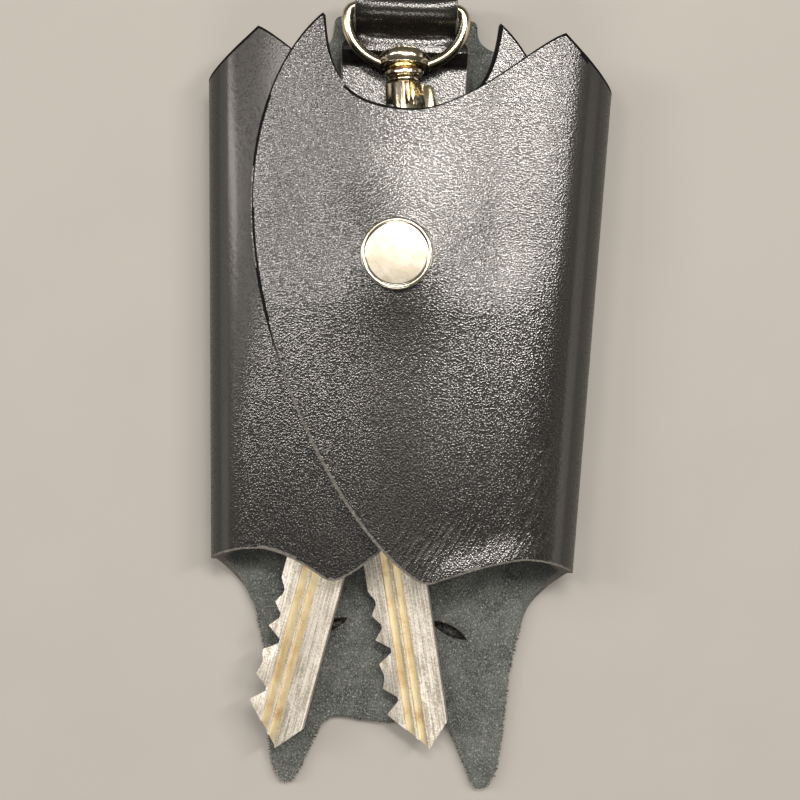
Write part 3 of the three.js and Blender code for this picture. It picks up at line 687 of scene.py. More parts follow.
@dataclass(frozen=True)
class KeyPlate:
    """Worn nickel plate on a brass key, brass in the milled grooves."""

    bright: str = "#fffaf0"
    dull: str = "#b8b1a2"
    brass: str = "#fff0c8"
    tarnish: str = "#dcbc84"
    speck: float = 0.25
    line: float = 0.2

    def material(self) -> Material:
        """Builds the material.

        Returns:
            The material.
        """
        # Plate worn by use: sparkling specks and long milling lines on the flats, warm brass in the
        # grooves. Real lines are too fine to show, so they are drawn as coarse as they need to be.
        material, node = blank_material("worn_nickel_plated_brass_key")
        place = node("Attribute", "Vector", {"attribute_name": "blade_mm"})
        groove = node("Attribute", "Fac", {"attribute_name": "groove"})
        drawn = node(
            "Mapping", "Vector", {"vector_type": "TEXTURE", "Scale": (1.0, 33.0, 1.0)}, {"Vector": place}
        )
        lines = node(
            "TexNoise", "Fac", {"Scale": 1 / self.line, "Detail": 2.0, "Roughness": 0.6}, {"Vector": drawn}
        )
        specks = node(
            "TexNoise", "Fac", {"Scale": 1 / self.speck, "Detail": 2.0, "Roughness": 0.7}, {"Vector": place}
        )
        patches = node("TexNoise", "Fac", {"Scale": 0.3, "Detail": 3.0, "Roughness": 0.6}, {"Vector": place})
        grit = node("Math", "Value", {"operation": "MULTIPLY_ADD", 1: 0.8}, {0: specks, 2: lines})
        grey = node("Math", "Value", {"operation": "MULTIPLY_ADD", 1: 0.35}, {0: patches, 2: grit})
        worn = node("MapRange", "Result", {"From Min": 0.94, "From Max": 1.24}, {"Value": grey})
        plate = node("Mix", 2, {"data_type": "RGBA", 6: linear(self.bright), 7: linear(self.dull)}, {0: worn})
        stain = node("Math", "Value", {"operation": "MULTIPLY_ADD", 1: 0.4}, {0: grit, 2: patches})
        stained = node("MapRange", "Result", {"From Min": 0.82, "From Max": 1.12}, {"Value": stain})
        warm = node(
            "Mix", 2, {"data_type": "RGBA", 6: linear(self.brass), 7: linear(self.tarnish)}, {0: stained}
        )
        colour = node("Mix", 2, {"data_type": "RGBA"}, {0: groove, 6: plate, 7: warm})
        rough = node(
            "MapRange", "Result",
            {"From Min": 0.3, "From Max": 0.7, "To Min": 0.42, "To Max": 0.58},
            {"Value": specks},
        )
        bump = node("Bump", "Normal", {"Strength": 0.8, "Distance": 0.03 * MM}, {"Height": grit})
        close_material(node, {"Metallic": 1.0}, {"Base Color": colour, "Roughness": rough, "Normal": bump})
        return material


@dataclass(frozen=True)
class LooseFibre:
    """Black fibres that stand out of a raw cut."""

    dark: str = "#0b0b0c"
    light: str = "#3c3e3d"

    def material(self) -> Material:
        """Builds the material.

        Returns:
            The material.
        """
        # Loose ends of the hide: a dark fuzz, a little paler here and there, that softens the cut.
        material, node = blank_material("black_leather_loose_fibre")
        place = node("TexCoord", "Object")
        shade = node("TexNoise", "Fac", {"Scale": 1 / (0.5 * MM), "Detail": 2.0}, {"Vector": place})
        share = node("MapRange", "Result", {"From Min": 0.4, "From Max": 0.7}, {"Value": shade})
        colour = node(
            "Mix", 2, {"data_type": "RGBA", 6: linear(self.dark), 7: linear(self.light)}, {0: share}
        )
        close_material(node, {"Roughness": 0.8, "Specular IOR Level": 0.3}, {"Base Color": colour})
        return material


@dataclass(frozen=True)
class Finishes:
    """Materials of the whole cover, made once."""

    grain: Material
    flesh: Material
    raw: Material
    nickel: Material
    steel: Material
    key: Material
    casting: Material
    brass: Material
    fibre: Material

    @classmethod
    def made(cls) -> "Finishes":
        """Builds every material.

        Returns:
            The finishes.
        """
        finishes = (
            GrainLeather(),
            FleshLeather(),
            CutLeather(),
            PlatedMetal("polished_nickel_plate", bright="#f3ecdd", worn="#ddd1b8", gloss=0.19),
            PlatedMetal("drawn_spring_steel", bright="#b7b5b1", worn="#8d8a84", gloss=0.24),
            KeyPlate(),
            PlatedMetal("worn_nickel_plated_casting", bright="#e0d6be", worn="#b3a584", gloss=0.18),
            PlatedMetal("turned_brass_bush", bright="#d9b878", worn="#a8844a", gloss=0.25),
            LooseFibre(),
        )
        return cls(*(finish.material() for finish in finishes))

    def hide(self, obj: Piece) -> None:
        """Gives a leather piece its three coats."""
        dress(obj, self.grain, self.flesh, self.raw)


@dataclass(frozen=True)
class Blank:
    """The leather blank and the levels that other pieces are laid to."""

    leather: float = 1.8
    half_width: float = 27.45
    body_height: float = 52.7
    taper: float = 0.0442
    hardware_x: float = -0.9
    snap_y: float = 20.2
    tail_half: float = 10.65
    tail_rise: float = 4.1
    strap_half: float = 9.35
    rivet_spread: float = 5.8
    rivet_y: float = 37.4
    rivet_hole: float = 1.2

    @cached_property
    def home(self) -> float:
        """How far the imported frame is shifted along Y."""
        low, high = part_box("snap_cap")
        return (low.y + high.y) / 2 / MM - self.snap_y

    @property
    def heel_y(self) -> float:
        """Lower end of the side folds."""
        return -0.459 * self.body_height

    @property
    def corner_y(self) -> float:
        """Upper end of the side folds."""
        return 0.865 * self.body_height

    @property
    def tail_top(self) -> float:
        """Upper edge of the tail."""
        return self.body_height + self.tail_rise

    def at(self, across: float, along: float) -> Point:
        """Gives a point in shares of the half width and the height."""
        return across * self.half_width, along * self.body_height

    def scale(self, y: Array) -> Array:
        """Gives the widening of the blank at a height."""
        return 1 + self.taper * y / self.half_width

    def panel_half(self, side: Side) -> Array:
        """Samples one half of the back panel's outline.

        Args:
            side: Half to sample.

        Returns:
            Points from the tail to the chin, as for the right half.
        """
        at = self.at
        edge = self.tail_half + side.value * self.hardware_x
        turn = self.tail_half - self.strap_half
        top, shoulder, notch = self.tail_top, at(0.47, 0.99), at(0.8, 0.782)
        corner = (self.half_width + self.taper * self.corner_y, self.corner_y)
        heel = (self.half_width + self.taper * self.heel_y, self.heel_y)
        neck, cheek, base = at(0.725, -0.607), at(0.652, -0.797), at(0.616, -1.006)
        tip, root, crown = at(0.525, -1.089), at(0.423, -1.006), at(0.237, -0.896)
        return joined(
            bezier([(0, top), (edge - turn, top)], 12),
            bezier([(edge - turn, top), (edge, top), (edge, top - turn)], 8),
            bezier([(edge, top - turn), (edge, shoulder[1] + turn / 2), shoulder], 10),
            bezier([shoulder, at(0.583, 0.964), at(0.62, 0.784), notch], 28),
            bezier([notch, at(0.92, 0.782), corner], 16),
            bezier([corner, heel], 60),
            bezier([heel, at(0.893, -0.512), at(0.765, -0.543), neck], 24),
            bezier([neck, at(0.685, -0.67), at(0.663, -0.721), cheek], 18),
            bezier([cheek, at(0.641, -0.863), at(0.634, -0.949), base], 18),
            bezier([base, at(0.605, -1.051), at(0.568, -1.089), tip], 14),
            bezier([tip, at(0.488, -1.089), at(0.459, -1.047), root], 14),
            bezier([root, at(0.36, -0.93), at(0.34, -0.892), crown], 16),
            bezier([crown, at(0.164, -0.899), at(0.091, -0.909), at(0, -0.909)], 12),
        )

    def eye(self, side: Side) -> Array:
        """Samples one slanted eye slot.

        Args:
            side: Side of the eye.

        Returns:
            Points round the slot, the first not repeated.
        """
        inner, outer = self.at(0.226, -0.62), self.at(0.428, -0.672)
        ring = joined(
            bezier([inner, self.at(0.36, -0.618), outer], 18),
            bezier([outer, self.at(0.29, -0.668), inner], 18),
        )[:-1]
        return ring * (side.value, 1)


@dataclass(frozen=True)
class Fold:
    """One round side fold and the arched front that it runs into.

    The run is the way along the leather's middle line: 0 at the silhouette,
    negative round to the back and positive over the front.
    """

    blank: Blank
    side: Side
    bend: float
    top: float

    @property
    def middle_x(self) -> float:
        """Axis of the bend, from the middle of the cover."""
        return self.blank.half_width - self.blank.leather / 2 - self.bend

    @property
    def middle_z(self) -> float:
        """Axis of the bend above the floor."""
        return self.blank.leather / 2 + self.bend

    @cached_property
    def crown(self) -> float:
        """Slope of the front where it leaves the bend."""
        low, high = 0.0, STEEPEST
        for _ in range(HALVINGS):
            angle = (low + high) / 2
            reach = self.middle_x + self.bend * math.sin(angle)
            rise = self.bend * math.cos(angle) + math.tan(angle) * reach / 2
            low, high = (angle, high) if self.middle_z + rise < self.top else (low, angle)
        return (low + high) / 2

    @property
    def join_x(self) -> float:
        """Where the front leaves the bend."""
        return self.middle_x + self.bend * math.sin(self.crown)

    @property
    def join_run(self) -> float:
        """Run at which the front leaves the bend."""
        return self.bend * (math.pi / 2 - self.crown)

    @property
    def fall(self) -> float:
        """Fall of the front for each square millimetre from the middle."""
        return math.tan(self.crown) / (2 * self.join_x)

    def run_at(self, x: Array) -> Array:
        """Finds the run under a point of the outline.

        Args:
            x: Distance from the middle, widening taken out.

        Returns:
            Run over the front.
        """
        outer = self.bend + self.blank.leather / 2
        leave = self.middle_x + outer * math.sin(self.crown)
        angle = np.arccos(np.clip((x - self.middle_x) / outer, -1, 1))
        flat = self.join_run + self.join_x * (1 - x / leave)
        return np.where(x >= leave, self.bend * angle, flat)

    def laid(self, run: Array, y: Array, sink: Array | float = 0.0) -> Array:
        """Lays points of the flat leather on the folded middle surface.

        Args:
            run: Run of each point.
            y: Height of each point, in the blank's frame.
            sink: How far each point sags.

        Returns:
            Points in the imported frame.
        """
        angle = run / self.bend
        flat = self.join_x - (run - self.join_run)
        front = run > self.join_run
        x = np.where(front, flat, self.middle_x + self.bend * np.cos(angle))
        arch = self.top - self.fall * flat**2
        z = np.where(front, arch, self.middle_z + self.bend * np.sin(angle)) - sink
        return np.stack([self.side.value * x * self.blank.scale(y), y + self.blank.home, z], axis=1)

    def unfolded(self, points: Array) -> Array:
        """Finds where points lie on the flat leather.

        Args:
            points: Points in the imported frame.

        Returns:
            Run, height and depth of each point.
        """
        y = points[:, 1] - self.blank.home
        x = self.side.value * points[:, 0] / self.blank.scale(y)
        angle = np.arctan2(points[:, 2] - self.middle_z, x - self.middle_x)
        bent = (angle < math.pi / 2 - self.crown) & (x > self.middle_x - 0.01)
        run = np.where(bent, self.bend * angle, self.join_run + self.join_x - x)
        radius = np.hypot(points[:, 2] - self.middle_z, x - self.middle_x) - self.bend
        depth = np.where(bent, radius, points[:, 2] - self.top + self.fall * x**2)
        return np.stack([run, y, depth], axis=1)


def leather_marks(obj: Piece, flat: Array, pull: Array, crease: Array) -> None:
    """Stores what the leather materials read.

    Args:
        obj: Leather piece.
        flat: Place of each point on the flat leather.
        pull: How far the grain is pulled smooth.
        crease: How far the leather is wrinkled.
    """
    mark(obj, "blank_mm", flat)
    mark(obj, "pull", pull)
    mark(obj, "crease", crease)


def thickened(
    obj: Piece,
    leather: float,
    finishes: Finishes,
    seam: Callable[[Array], Array],
    round_over: float = 0.4,
) -> None:
    """Gives a sheet its thickness, coats and rounded cut edges.

    Args:
        obj: Sheet on the leather's middle surface, grain side up its normals.
        leather: Thickness.
        finishes: Materials.
        seam: Tells which points lie on a seam to another piece, to be left square.
        round_over: Width of the rounding.
    """
    finishes.hide(obj)
    coats = {"material_offset": Coat.FLESH.value, "material_offset_rim": Coat.EDGE.value}
    apply_modifier(obj, "SOLIDIFY", thickness=leather * MM, offset=0.0, use_quality_normals=True, **coats)
    ends, rim = edge_points(obj)
    fixed = seam(points_of(obj))
    rim &= ~(fixed[ends[:, 0]] & fixed[ends[:, 1]])
    weights = obj.data.attributes.new("bevel_weight_edge", "FLOAT", "EDGE")
    weights.data.foreach_set("value", rim.astype(np.float32))
    bevel(obj, round_over, 3, limit_method="WEIGHT", material=Coat.EDGE.value, use_clamp_overlap=True)
    face_out(obj)


@dataclass(frozen=True)
class BackPanel:
    """Flat back of the blank with the tail, the head, the ears and the eye slots."""

    blank: Blank
    left: Fold
    right: Fold
    hole_steps: int = 24
    weld: float = 0.005
    rounding: float = 0.22

    def outline(self) -> Array:
        """Samples the flat part's outline, stopped where the bends begin.

        Returns:
            Points round the panel in the blank's frame.
        """
        halves = []
        for fold in (self.right, self.left):
            half = self.blank.panel_half(fold.side)
            beyond = half[:, 0] / self.blank.scale(half[:, 1]) > fold.middle_x
            y = np.where(beyond, np.minimum(half[:, 1], half[np.argmax(beyond), 1]), half[:, 1])
            x = np.where(beyond, fold.middle_x * self.blank.scale(y), half[:, 0])
            halves.append(np.stack([fold.side.value * x, y], axis=1))
        return np.concatenate([halves[0], halves[1][1:-1][::-1]])

    def on_seam(self, points: Array) -> Array:
        """Tells which points lie where a bend begins.

        Args:
            points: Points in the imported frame.

        Returns:
            True for each point on a seam.
        """
        y = points[:, 1] - self.blank.home
        x = points[:, 0] / self.blank.scale(y)
        return (x > self.right.middle_x - ON_SEAM) | (x < ON_SEAM - self.left.middle_x)

    def build(self, finishes: Finishes) -> Piece:
        """Cuts, thickens and dresses the panel.

        Args:
            finishes: Materials.

        Returns:
            The panel.
        """
        blank = self.blank
        holes = [blank.eye(side) for side in Side]
        turn = np.linspace(0, 2 * math.pi, self.hole_steps, endpoint=False)
        for side in Side:
            centre = (blank.hardware_x + side.value * blank.rivet_spread, blank.rivet_y)
            ring = np.stack([np.cos(turn), np.sin(turn)], axis=1) * blank.rivet_hole
            holes.append(ring + centre)
        points: list[tuple[float, float, float]] = []
        edges: list[tuple[int, int]] = []
        for loop in [self.outline(), *holes]:
            first, count = len(points), len(loop)
            points += [(x * MM, (y + blank.home) * MM, blank.leather / 2 * MM) for x, y in loop]
            edges += [(first + i, first + (i + 1) % count) for i in range(count)]
        obj = shaped("back_leather", points, edges, [])
        with editing(obj):
            bpy.ops.mesh.remove_doubles(threshold=self.weld * MM)
            bpy.ops.mesh.select_all(action="SELECT")
            bpy.ops.mesh.fill(use_beauty=True)
            bpy.ops.mesh.select_all(action="SELECT")
            bpy.ops.mesh.normals_make_consistent(inside=False)
        if obj.data.polygons[0].normal.z > 0:
            with editing(obj):
                bpy.ops.mesh.flip_normals()
        thickened(obj, blank.leather, finishes, self.on_seam, self.rounding)
        smooth(obj)
        place = points_of(obj)
        none = np.zeros(len(place))
        leather_marks(obj, place, none, none)
        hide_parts("back_panel")
        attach(obj, "back")
        return obj


@dataclass(frozen=True)
class SideFold:
    """Lower quarter of a round side fold, from the flat back to the silhouette."""

    fold: Fold
    columns: int = 20
    rows: int = 110
    trim: float = 0.5
    overlap: float = 0.6
    corner_depth: float = 6.0
    wrinkle: float = 0.04

    @property
    def name(self) -> str:
        """Name of the CAD solid that it stands for."""
        return f"{self.fold.side.word}_side"

    def ends(self, x: Array) -> tuple[Array, Array]:
        """Finds the lower and upper end of the leather at a distance from the middle.

        Args:
            x: Distance from the middle, widening taken out.

        Returns:
            Lower and upper ends.
        """
        blank = self.fold.blank
        half = blank.panel_half(self.fold.side)
        wide = half[:, 0] / blank.scale(half[:, 1])
        reach = self.fold.middle_x - self.overlap
        below = half[(half[:, 1] <= blank.heel_y + 1e-6) & (wide > reach)]
        high = (half[:, 1] >= blank.corner_y - self.corner_depth) & (half[:, 1] <= blank.corner_y + 1e-6)
        above = half[high & (wide > reach)]
        ends = []
        for part in (below, above):
            span = part[:, 0] / blank.scale(part[:, 1])
            order = np.argsort(span)
            ends.append(np.interp(x, span[order], part[order, 1]))
        return ends[0], ends[1]

    def place(self, across: Array, along: Array) -> Array:
        """Lays the grid on the bend.

        Args:
            across: Shares from left to right.
            along: Shares from the lower to the upper end.

        Returns:
            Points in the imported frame.
        """
        fold = self.fold
        out = across if fold.side is Side.RIGHT else 1 - across
        angle = -math.pi / 2 * (1 - out)
        outer = fold.bend + fold.blank.leather / 2
        low, high = self.ends(fold.middle_x + outer * np.cos(angle))
        low = low - self.trim * np.sin(2 * angle)
        return fold.laid(fold.bend * angle, low + (high - low) * along)

    def on_seam(self, points: Array) -> Array:
        """Tells which points lie on the back or the silhouette."""
        run = self.fold.unfolded(points)[:, 0]
        return (run > -ON_SEAM) | (run < ON_SEAM - self.fold.bend * math.pi / 2)

    def build(self, finishes: Finishes) -> Piece:
        """Lays, thickens and dresses the fold.

        Args:
            finishes: Materials.

        Returns:
            The fold.
        """
        fold = self.fold
        obj = sheet(f"{self.name}_leather", self.columns, self.rows, self.place)
        with editing(obj):
            bpy.ops.mesh.flip_normals()
        thickened(obj, fold.blank.leather, finishes, self.on_seam)
        smooth(obj)
        flat = fold.unfolded(points_of(obj))
        pull = np.ones(len(flat))
        leather_marks(obj, flat, pull, self.wrinkle * pull)
        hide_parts(self.name)
        self.name
        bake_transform(obj)
        return obj


@dataclass(frozen=True)
class Wrinkles:
    """A band of wrinkles along a fold, fading out upward between two heights."""

    strength: float
    centre: float
    width: float
    fade: Point = (90.0, 100.0)  # above all leather, so that nothing fades

    def at(self, beyond: Array, y: Array) -> Array:
        """Gives the wrinkling at distances beyond the bend and at heights."""
        band = np.exp(-(((beyond - self.centre) / self.width) ** 2))
        return self.strength * band * (1 - ramp(*self.fade, y))


@dataclass(frozen=True)
class Wing:
    """One wing: the upper half of its fold and the front that it covers."""

    fold: Fold
    toe: Point
    smooth_foot: float  # how far beyond the bend the smooth grain reaches at the foot
    smooth_gain: float  # and how much further at the top
    smooth_top: float
    wrinkles: tuple[Wrinkles, ...]
    sag_edge: float = 0.0
    sag_middle: float = 0.0
    flare_lift: float = 0.0
    columns: int = 150
    rows: int = 170
    snap_hole: float = 1.6
    bare_width: float = 0.34  # raw cut that shows along the borders
    bare_height: float = 6.0
    bare_taper: float = 14.0
    # width shares and heights of the black painted shadow line along the upper borders
    dyed_share: float = 0.55
    rim_share: float = 0.95
    dye_zone: Point = (-6.0, 4.0)
    hole_steps: int = 48
    hole_depth: float = 12.0
    sag_zone: Point = (-21.0, -11.0)  # from the free edge, where the left wing holds it up
    sag_below: float = 0.5
    snap_zone: Point = (-8.0, 4.0)
    snap_hold: float = 9.0  # how far the snap holds the front up
    sag_start: float = 12.0
    flare_height: float = 0.1
    flare_rise: Point = (2.0, 10.0)
    flare_end: Point = (16.0, 22.0)
    smooth_heel: float = -10.0
    smooth_edge: Point = (0.5, 1.05)
    wrinkle: float = 0.005

    @property
    def name(self) -> str:
        """Name of the CAD solid that it stands for."""
        return f"{self.fold.side.word}_wing"

    def flat(self, outline: Array) -> Array:
        """Turns a plan outline into runs and heights."""
        x = outline[:, 0] / self.fold.blank.scale(outline[:, 1])
        return np.stack([self.fold.run_at(x), outline[:, 1]], axis=1)

    def borders(self) -> tuple[Array, Array, Array, Array]:
        """Samples the four sides of the wing on the flat leather.

        Returns:
            Lower, upper, free and folded side, as many points as the grid has.
        """
        blank, at = self.fold.blank, self.fold.blank.at
        x, y = self.toe
        turn = 0.055 * blank.half_width
        corner = (blank.half_width + blank.taper * blank.corner_y, blank.corner_y)
        heel = (blank.half_width + blank.taper * blank.heel_y, blank.heel_y)
        tip, dip, far, reach = at(0.801, 1), at(0.018, 0.774), at(-0.459, 1.025), at(-0.798, 0.531)
        arch = at(0.674, -0.417)
        under = [(x - turn, y + turn / 4), (x, y - turn / 3), (x + turn, y + turn / 5)]
        rounding = bezier(under, 16)
        lower = joined(
            rounding[8:],
            bezier([under[2], at(0.528, -0.425), arch], 30),
            bezier([arch, at(0.856, -0.417), heel], 60),
        )
        rise = bezier([far, at(-0.43, 0.873), at(-0.346, 0.774), dip], 60)
        scallop = bezier([dip, at(0.291, 0.774), at(0.656, 0.972), tip], 60)
        collar = bezier([tip, corner], 40)
        sweep = (x - 0.455 * blank.half_width, y + 0.125 * blank.body_height)
        free = joined(
            rounding[:9][::-1],
            bezier([under[0], sweep, at(-0.798, 0.152), reach], 60),
            bezier([reach, at(-0.809, 0.778), at(-0.638, 0.953), far], 40),
        )
        upper = [self.flat(joined(rise, scallop)), self.flat(collar)]
        height = np.linspace(blank.heel_y, blank.corner_y, self.rows + 1)
        return (
            spread([self.flat(lower)], self.columns),
            spread(upper, self.columns),
            spread([self.flat(free)], self.rows),
            np.stack([np.zeros(self.rows + 1), height], axis=1),
        )

    def patch(self, across: Array, along: Array) -> Array:
        """Fills the four sides with an even patch.

        Args:
            across: Shares from the free side to the fold.
            along: Shares from the lower to the upper side.

        Returns:
            Run and height of each point.
        """
        lower, upper, free, folded = self.borders()
        i = np.rint(across * self.columns).astype(int)
        j = np.rint(along * self.rows).astype(int)
        a, t = across[:, None], along[:, None]
        ruled = (1 - t) * lower[i] + t * upper[i] + (1 - a) * free[j] + a * folded[j]
        corners = (1 - a) * ((1 - t) * lower[0] + t * upper[0]) + a * ((1 - t) * lower[-1] + t * upper[-1])
        return ruled - corners

    def sag(self, run: Array, y: Array) -> Array:
        """Gives how far the front sags away from the snap.

        Args:
            run: Run of each point.
            y: Height of each point.

        Returns:
            Sag in millimetres.
        """
        fold = self.fold
        x = fold.join_x - (run - fold.join_run)
        away = np.hypot(x - fold.blank.hardware_x, y - fold.blank.snap_y)
        below = self.sag_below + (1 - self.sag_below) * ramp(*self.snap_zone, y - fold.blank.snap_y)
        depth = (self.sag_edge + self.sag_middle * ramp(*self.sag_zone, x)) * below
        start = ramp(fold.join_run, fold.join_run + self.sag_start, run)
        return depth * (1 - np.exp(-((away / self.snap_hold) ** 2))) * start

    def flare(self, run: Array, along: Array) -> Array:
        """Gives how far the lower edge curls up beside the fold.

        Args:
            run: Run of each point.
            along: Shares from the lower to the upper side.

        Returns:
            Lift in millimetres.
        """
        x = self.fold.join_x - (run - self.fold.join_run)
        lift = self.flare_lift * (1 - ramp(0.0, self.flare_height, along)) ** 2
        return lift * ramp(*self.flare_rise, x) * (1 - ramp(*self.flare_end, x))

    def place(self, across: Array, along: Array) -> Array:
        """Lays the grid on the front.

        Args:
            across: Shares from left to right.
            along: Shares from the lower to the upper side.

        Returns:
            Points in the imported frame.
        """
        inward = across if self.fold.side is Side.RIGHT else 1 - across
        run, y = self.patch(inward, along).T
        return self.fold.laid(run, y, self.sag(run, y) - self.flare(run, along))

    def on_seam(self, points: Array) -> Array:
        """Tells which points lie on the silhouette."""
        return self.fold.unfolded(points)[:, 0] < ON_SEAM

    def pulled(self, flat: Array) -> Array:
        """Gives how far the grain is pulled smooth: 1 on the bend, falling to 0 on the front."""
        reach = self.smooth_foot + self.smooth_gain * ramp(self.smooth_heel, self.smooth_top, flat[:, 1])
        return 1 - ramp(*self.smooth_edge, flat[:, 0] / (self.fold.join_run + reach))

    def wrinkled(self, flat: Array) -> Array:
        """Gives how far the leather is wrinkled at each point."""
        beyond = flat[:, 0] - self.fold.join_run
        return self.wrinkle + sum(band.at(beyond, flat[:, 1]) for band in self.wrinkles)

    def bare_edge(self, obj: Piece) -> None:
        """Lets the raw cut show along the lower border and, narrower and black as a painted shadow line,
        round the others.

        Args:
            obj: The thickened wing.
        """
        lower, upper, free, _ = self.borders()
        borders = (np.concatenate([lower, free]), upper)
        fine, high = (np.concatenate([b[:-1] + (b[1:] - b[:-1]) * k for k in (0.0, 0.5)]) for b in borders)
        faces = obj.data.polygons
        slots = column(faces, "material_index")
        flat = self.fold.unfolded(column(faces, "center", np.float64, 3) / MM)
        for k in np.nonzero(slots == Coat.GRAIN.value)[0]:
            away = np.hypot(*(fine - flat[k, :2]).T).min()
            share = np.clip((self.bare_height - flat[k, 1]) / self.bare_taper, self.dyed_share, 1.0)
            above = np.hypot(*(high - flat[k, :2]).T).min()
            if away < self.bare_width * share or above < self.bare_width * self.rim_share:
                slots[k] = Coat.EDGE.value
        faces.foreach_set("material_index", slots)

    def build(self, finishes: Finishes) -> Piece:
        """Lays, thickens, pierces and dresses the wing.

        Args:
            finishes: Materials.

        Returns:
            The wing.
        """
        fold, blank = self.fold, self.fold.blank
        obj = sheet(f"{self.name}_leather", self.columns, self.rows, self.place)
        thickened(obj, blank.leather, finishes, self.on_seam)
        clear_selection()
        place = (blank.hardware_x * MM, (blank.snap_y + blank.home) * MM, fold.top * MM)
        bpy.ops.mesh.primitive_cylinder_add(
            vertices=self.hole_steps, radius=self.snap_hole * MM, depth=self.hole_depth * MM, location=place
        )
        cut(obj, bpy.context.object)
        self.bare_edge(obj)
        smooth(obj, 40)
        flat = fold.unfolded(points_of(obj))
        leather_marks(obj, flat, self.pulled(flat), self.wrinkled(flat))
        # Painted shadow: the cut edge turns black above the bare zone, for the dark gap under the wing's
        # edge.
        mark(obj, "dyed", ramp(*self.dye_zone, flat[:, 1] - self.bare_height))
        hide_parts(self.name)
        f"{fold.side.word}_side"
        self.name
        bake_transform(obj)
        return obj


@dataclass(frozen=True)
class HangerStrap:
    """Strap that wraps the bar of the clasp's eye, squeezed to a pillow inside it."""

    blank: Blank
    strap: float = 1.3
    length: float = 23.9
    eye_half: float = 8.5
    eye_wire: float = 0.85
    eye_height: float = 8.6
    gap: float = 0.3
    seam: float = 0.1
    clasp_z: float = 7.8
    rear: float = 2.55
    front: float = 3.95
    columns: int = 40
    rows: int = 140
    rounding: float = 0.22
    curl: float = 0.8
    curl_middle: float = 0.3
    taper_start: float = 2.9
    pillow_rise: float = 3.0
    wrap_angle: float = 135.0
    pull: float = 0.3
    wrinkle: float = 0.02

    @property
    def bar_y(self) -> float:
        """Height of the bar that the strap wraps."""
        return self.blank.tail_top + self.seam

    def line(self) -> Array:
        """Samples the strap's side view, from its rear end round the bar to its front end.

        Returns:
            Y and Z of the middle line.
        """
        bar, wrap = self.bar_y, self.eye_wire + self.gap + self.strap / 2
        end = self.blank.tail_top - self.length + self.seam
        lift = bar - self.eye_height + self.gap
        half = (self.rear + self.clasp_z) / 2
        turn = np.linspace(0, math.radians(self.wrap_angle), 28)
        arc = np.stack([bar + wrap * np.cos(turn), self.clasp_z + wrap * np.sin(turn)], axis=1)
        leave = (arc[-1, 0], arc[-1, 1])
        level = bar - 8.2
        over = (bar + wrap, self.clasp_z)
        behind = [(lift, self.rear), (bar + 1.2, self.rear), (bar + wrap, half - 1.2), over]
        # In front the strap dips below the bar, swells inside the eye and drops to the tail.
        swell = (bar - 5.6, 5.75)
        dip = [leave, (bar - 2.3, 8.05), (bar - 2.5, 5.2), (bar - 3.8, 5.3), swell]
        drop = [swell, (bar - 6.4, 5.95), (bar - 6.7, self.front), (level, self.front)]
        return joined(
            bezier([(end, self.rear), (lift, self.rear)], 20),
            bezier(behind, 24),
            arc,
            bezier(dip, 26),
            bezier(drop, 14),
            bezier([(level, self.front), (end, self.front)], 20),
        )

    def place(self, across: Array, along: Array) -> Array:
        """Lays the grid along the strap's line.

        Args:
            across: Shares from left to right.
            along: Shares from the front end to the rear end.

        Returns:
            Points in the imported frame.
        """
        line = spread([self.line()], self.rows)
        rank = np.rint((1 - along) * self.rows).astype(int)
        y, z = line[rank].T
        waist = self.eye_half - self.eye_wire - self.gap
        low, high = self.bar_y - self.eye_height + self.taper_start, self.bar_y - self.eye_half / 3
        half = self.blank.strap_half - (self.blank.strap_half - waist) * ramp(low, high, y)
        share = across * 2 - 1
        front = ramp(0.5, 0.55, rank / self.rows)
        pillow = front * ramp(low - self.pillow_rise, high, y) * (1 - ramp(self.bar_y - 1, self.bar_y + 1, y))
        curl = pillow * self.curl * (self.curl_middle - np.abs(share) ** 4)
        return np.stack([self.blank.hardware_x + share * half, y + self.blank.home, z + curl], axis=1)

    def build(self, finishes: Finishes) -> Piece:
        """Lays, thickens and dresses the strap.

        Args:
            finishes: Materials.

        Returns:
            The strap.
        """
        obj = sheet("hanger_strap_leather", self.columns, self.rows, self.place)
        thickened(obj, self.strap, finishes, lambda points: np.zeros(len(points), dtype=bool), self.rounding)
        smooth(obj)
        place = points_of(obj)
        none = np.zeros(len(place))
        leather_marks(obj, place, none + self.pull, none + self.wrinkle)
        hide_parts("hanger_strap")
        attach(obj, "back")
        return obj


@dataclass(frozen=True)
class SnapCap:
    """Domed cap of the press stud on the right wing."""

    blank: Blank
    radius: float = 5.05
    rise: float = 1.4
    dome: float = 0.1
    rim: float = 0.4
    post: float = 1.5
    rim_width: float = 1.8
    rim_lift: float = 0.06
    step_in: float = 0.08
    step_down: float = 0.07
    roll: float = 125.0
    steps: int = 128

    def build(self, finishes: Finishes) -> Piece:
        """Turns and dresses the cap with its rolled rim.

        Args:
            finishes: Materials.

        Returns:
            The cap.
        """
        low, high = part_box("snap_cap")
        base, top = low.z / MM, high.z / MM
        seat = top - self.rise
        flat = self.radius - self.rim * self.rim_width
        sphere = (flat**2 + self.dome**2) / (2 * self.dome)
        profile = []
        for r in np.linspace(0, flat, 24):
            profile.append((float(r), float(top - sphere + math.sqrt(sphere**2 - r * r))))
        brim = top - self.dome - self.rim + self.rim_lift
        profile.append((flat + self.step_in, top - self.dome - self.step_down))
        for angle in np.linspace(math.radians(self.roll), 0.0, 10):
            reach = self.radius - self.rim + self.rim * math.cos(angle)
            profile.append((reach, brim + self.rim * math.sin(angle)))
        profile.append((self.radius - self.step_in, seat))
        profile += [(self.post, seat), (self.post, base), (0.0, base)]
        obj = turned("snap_cap_dome", profile, self.steps)
        shift = Matrix.Translation((self.blank.hardware_x, self.blank.snap_y + self.blank.home, 0))
        moved(obj, shift)
        dress(obj, finishes.nickel)
        smooth(obj, 40)
        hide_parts("snap_cap")
        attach(obj, "right_wing")
        return obj


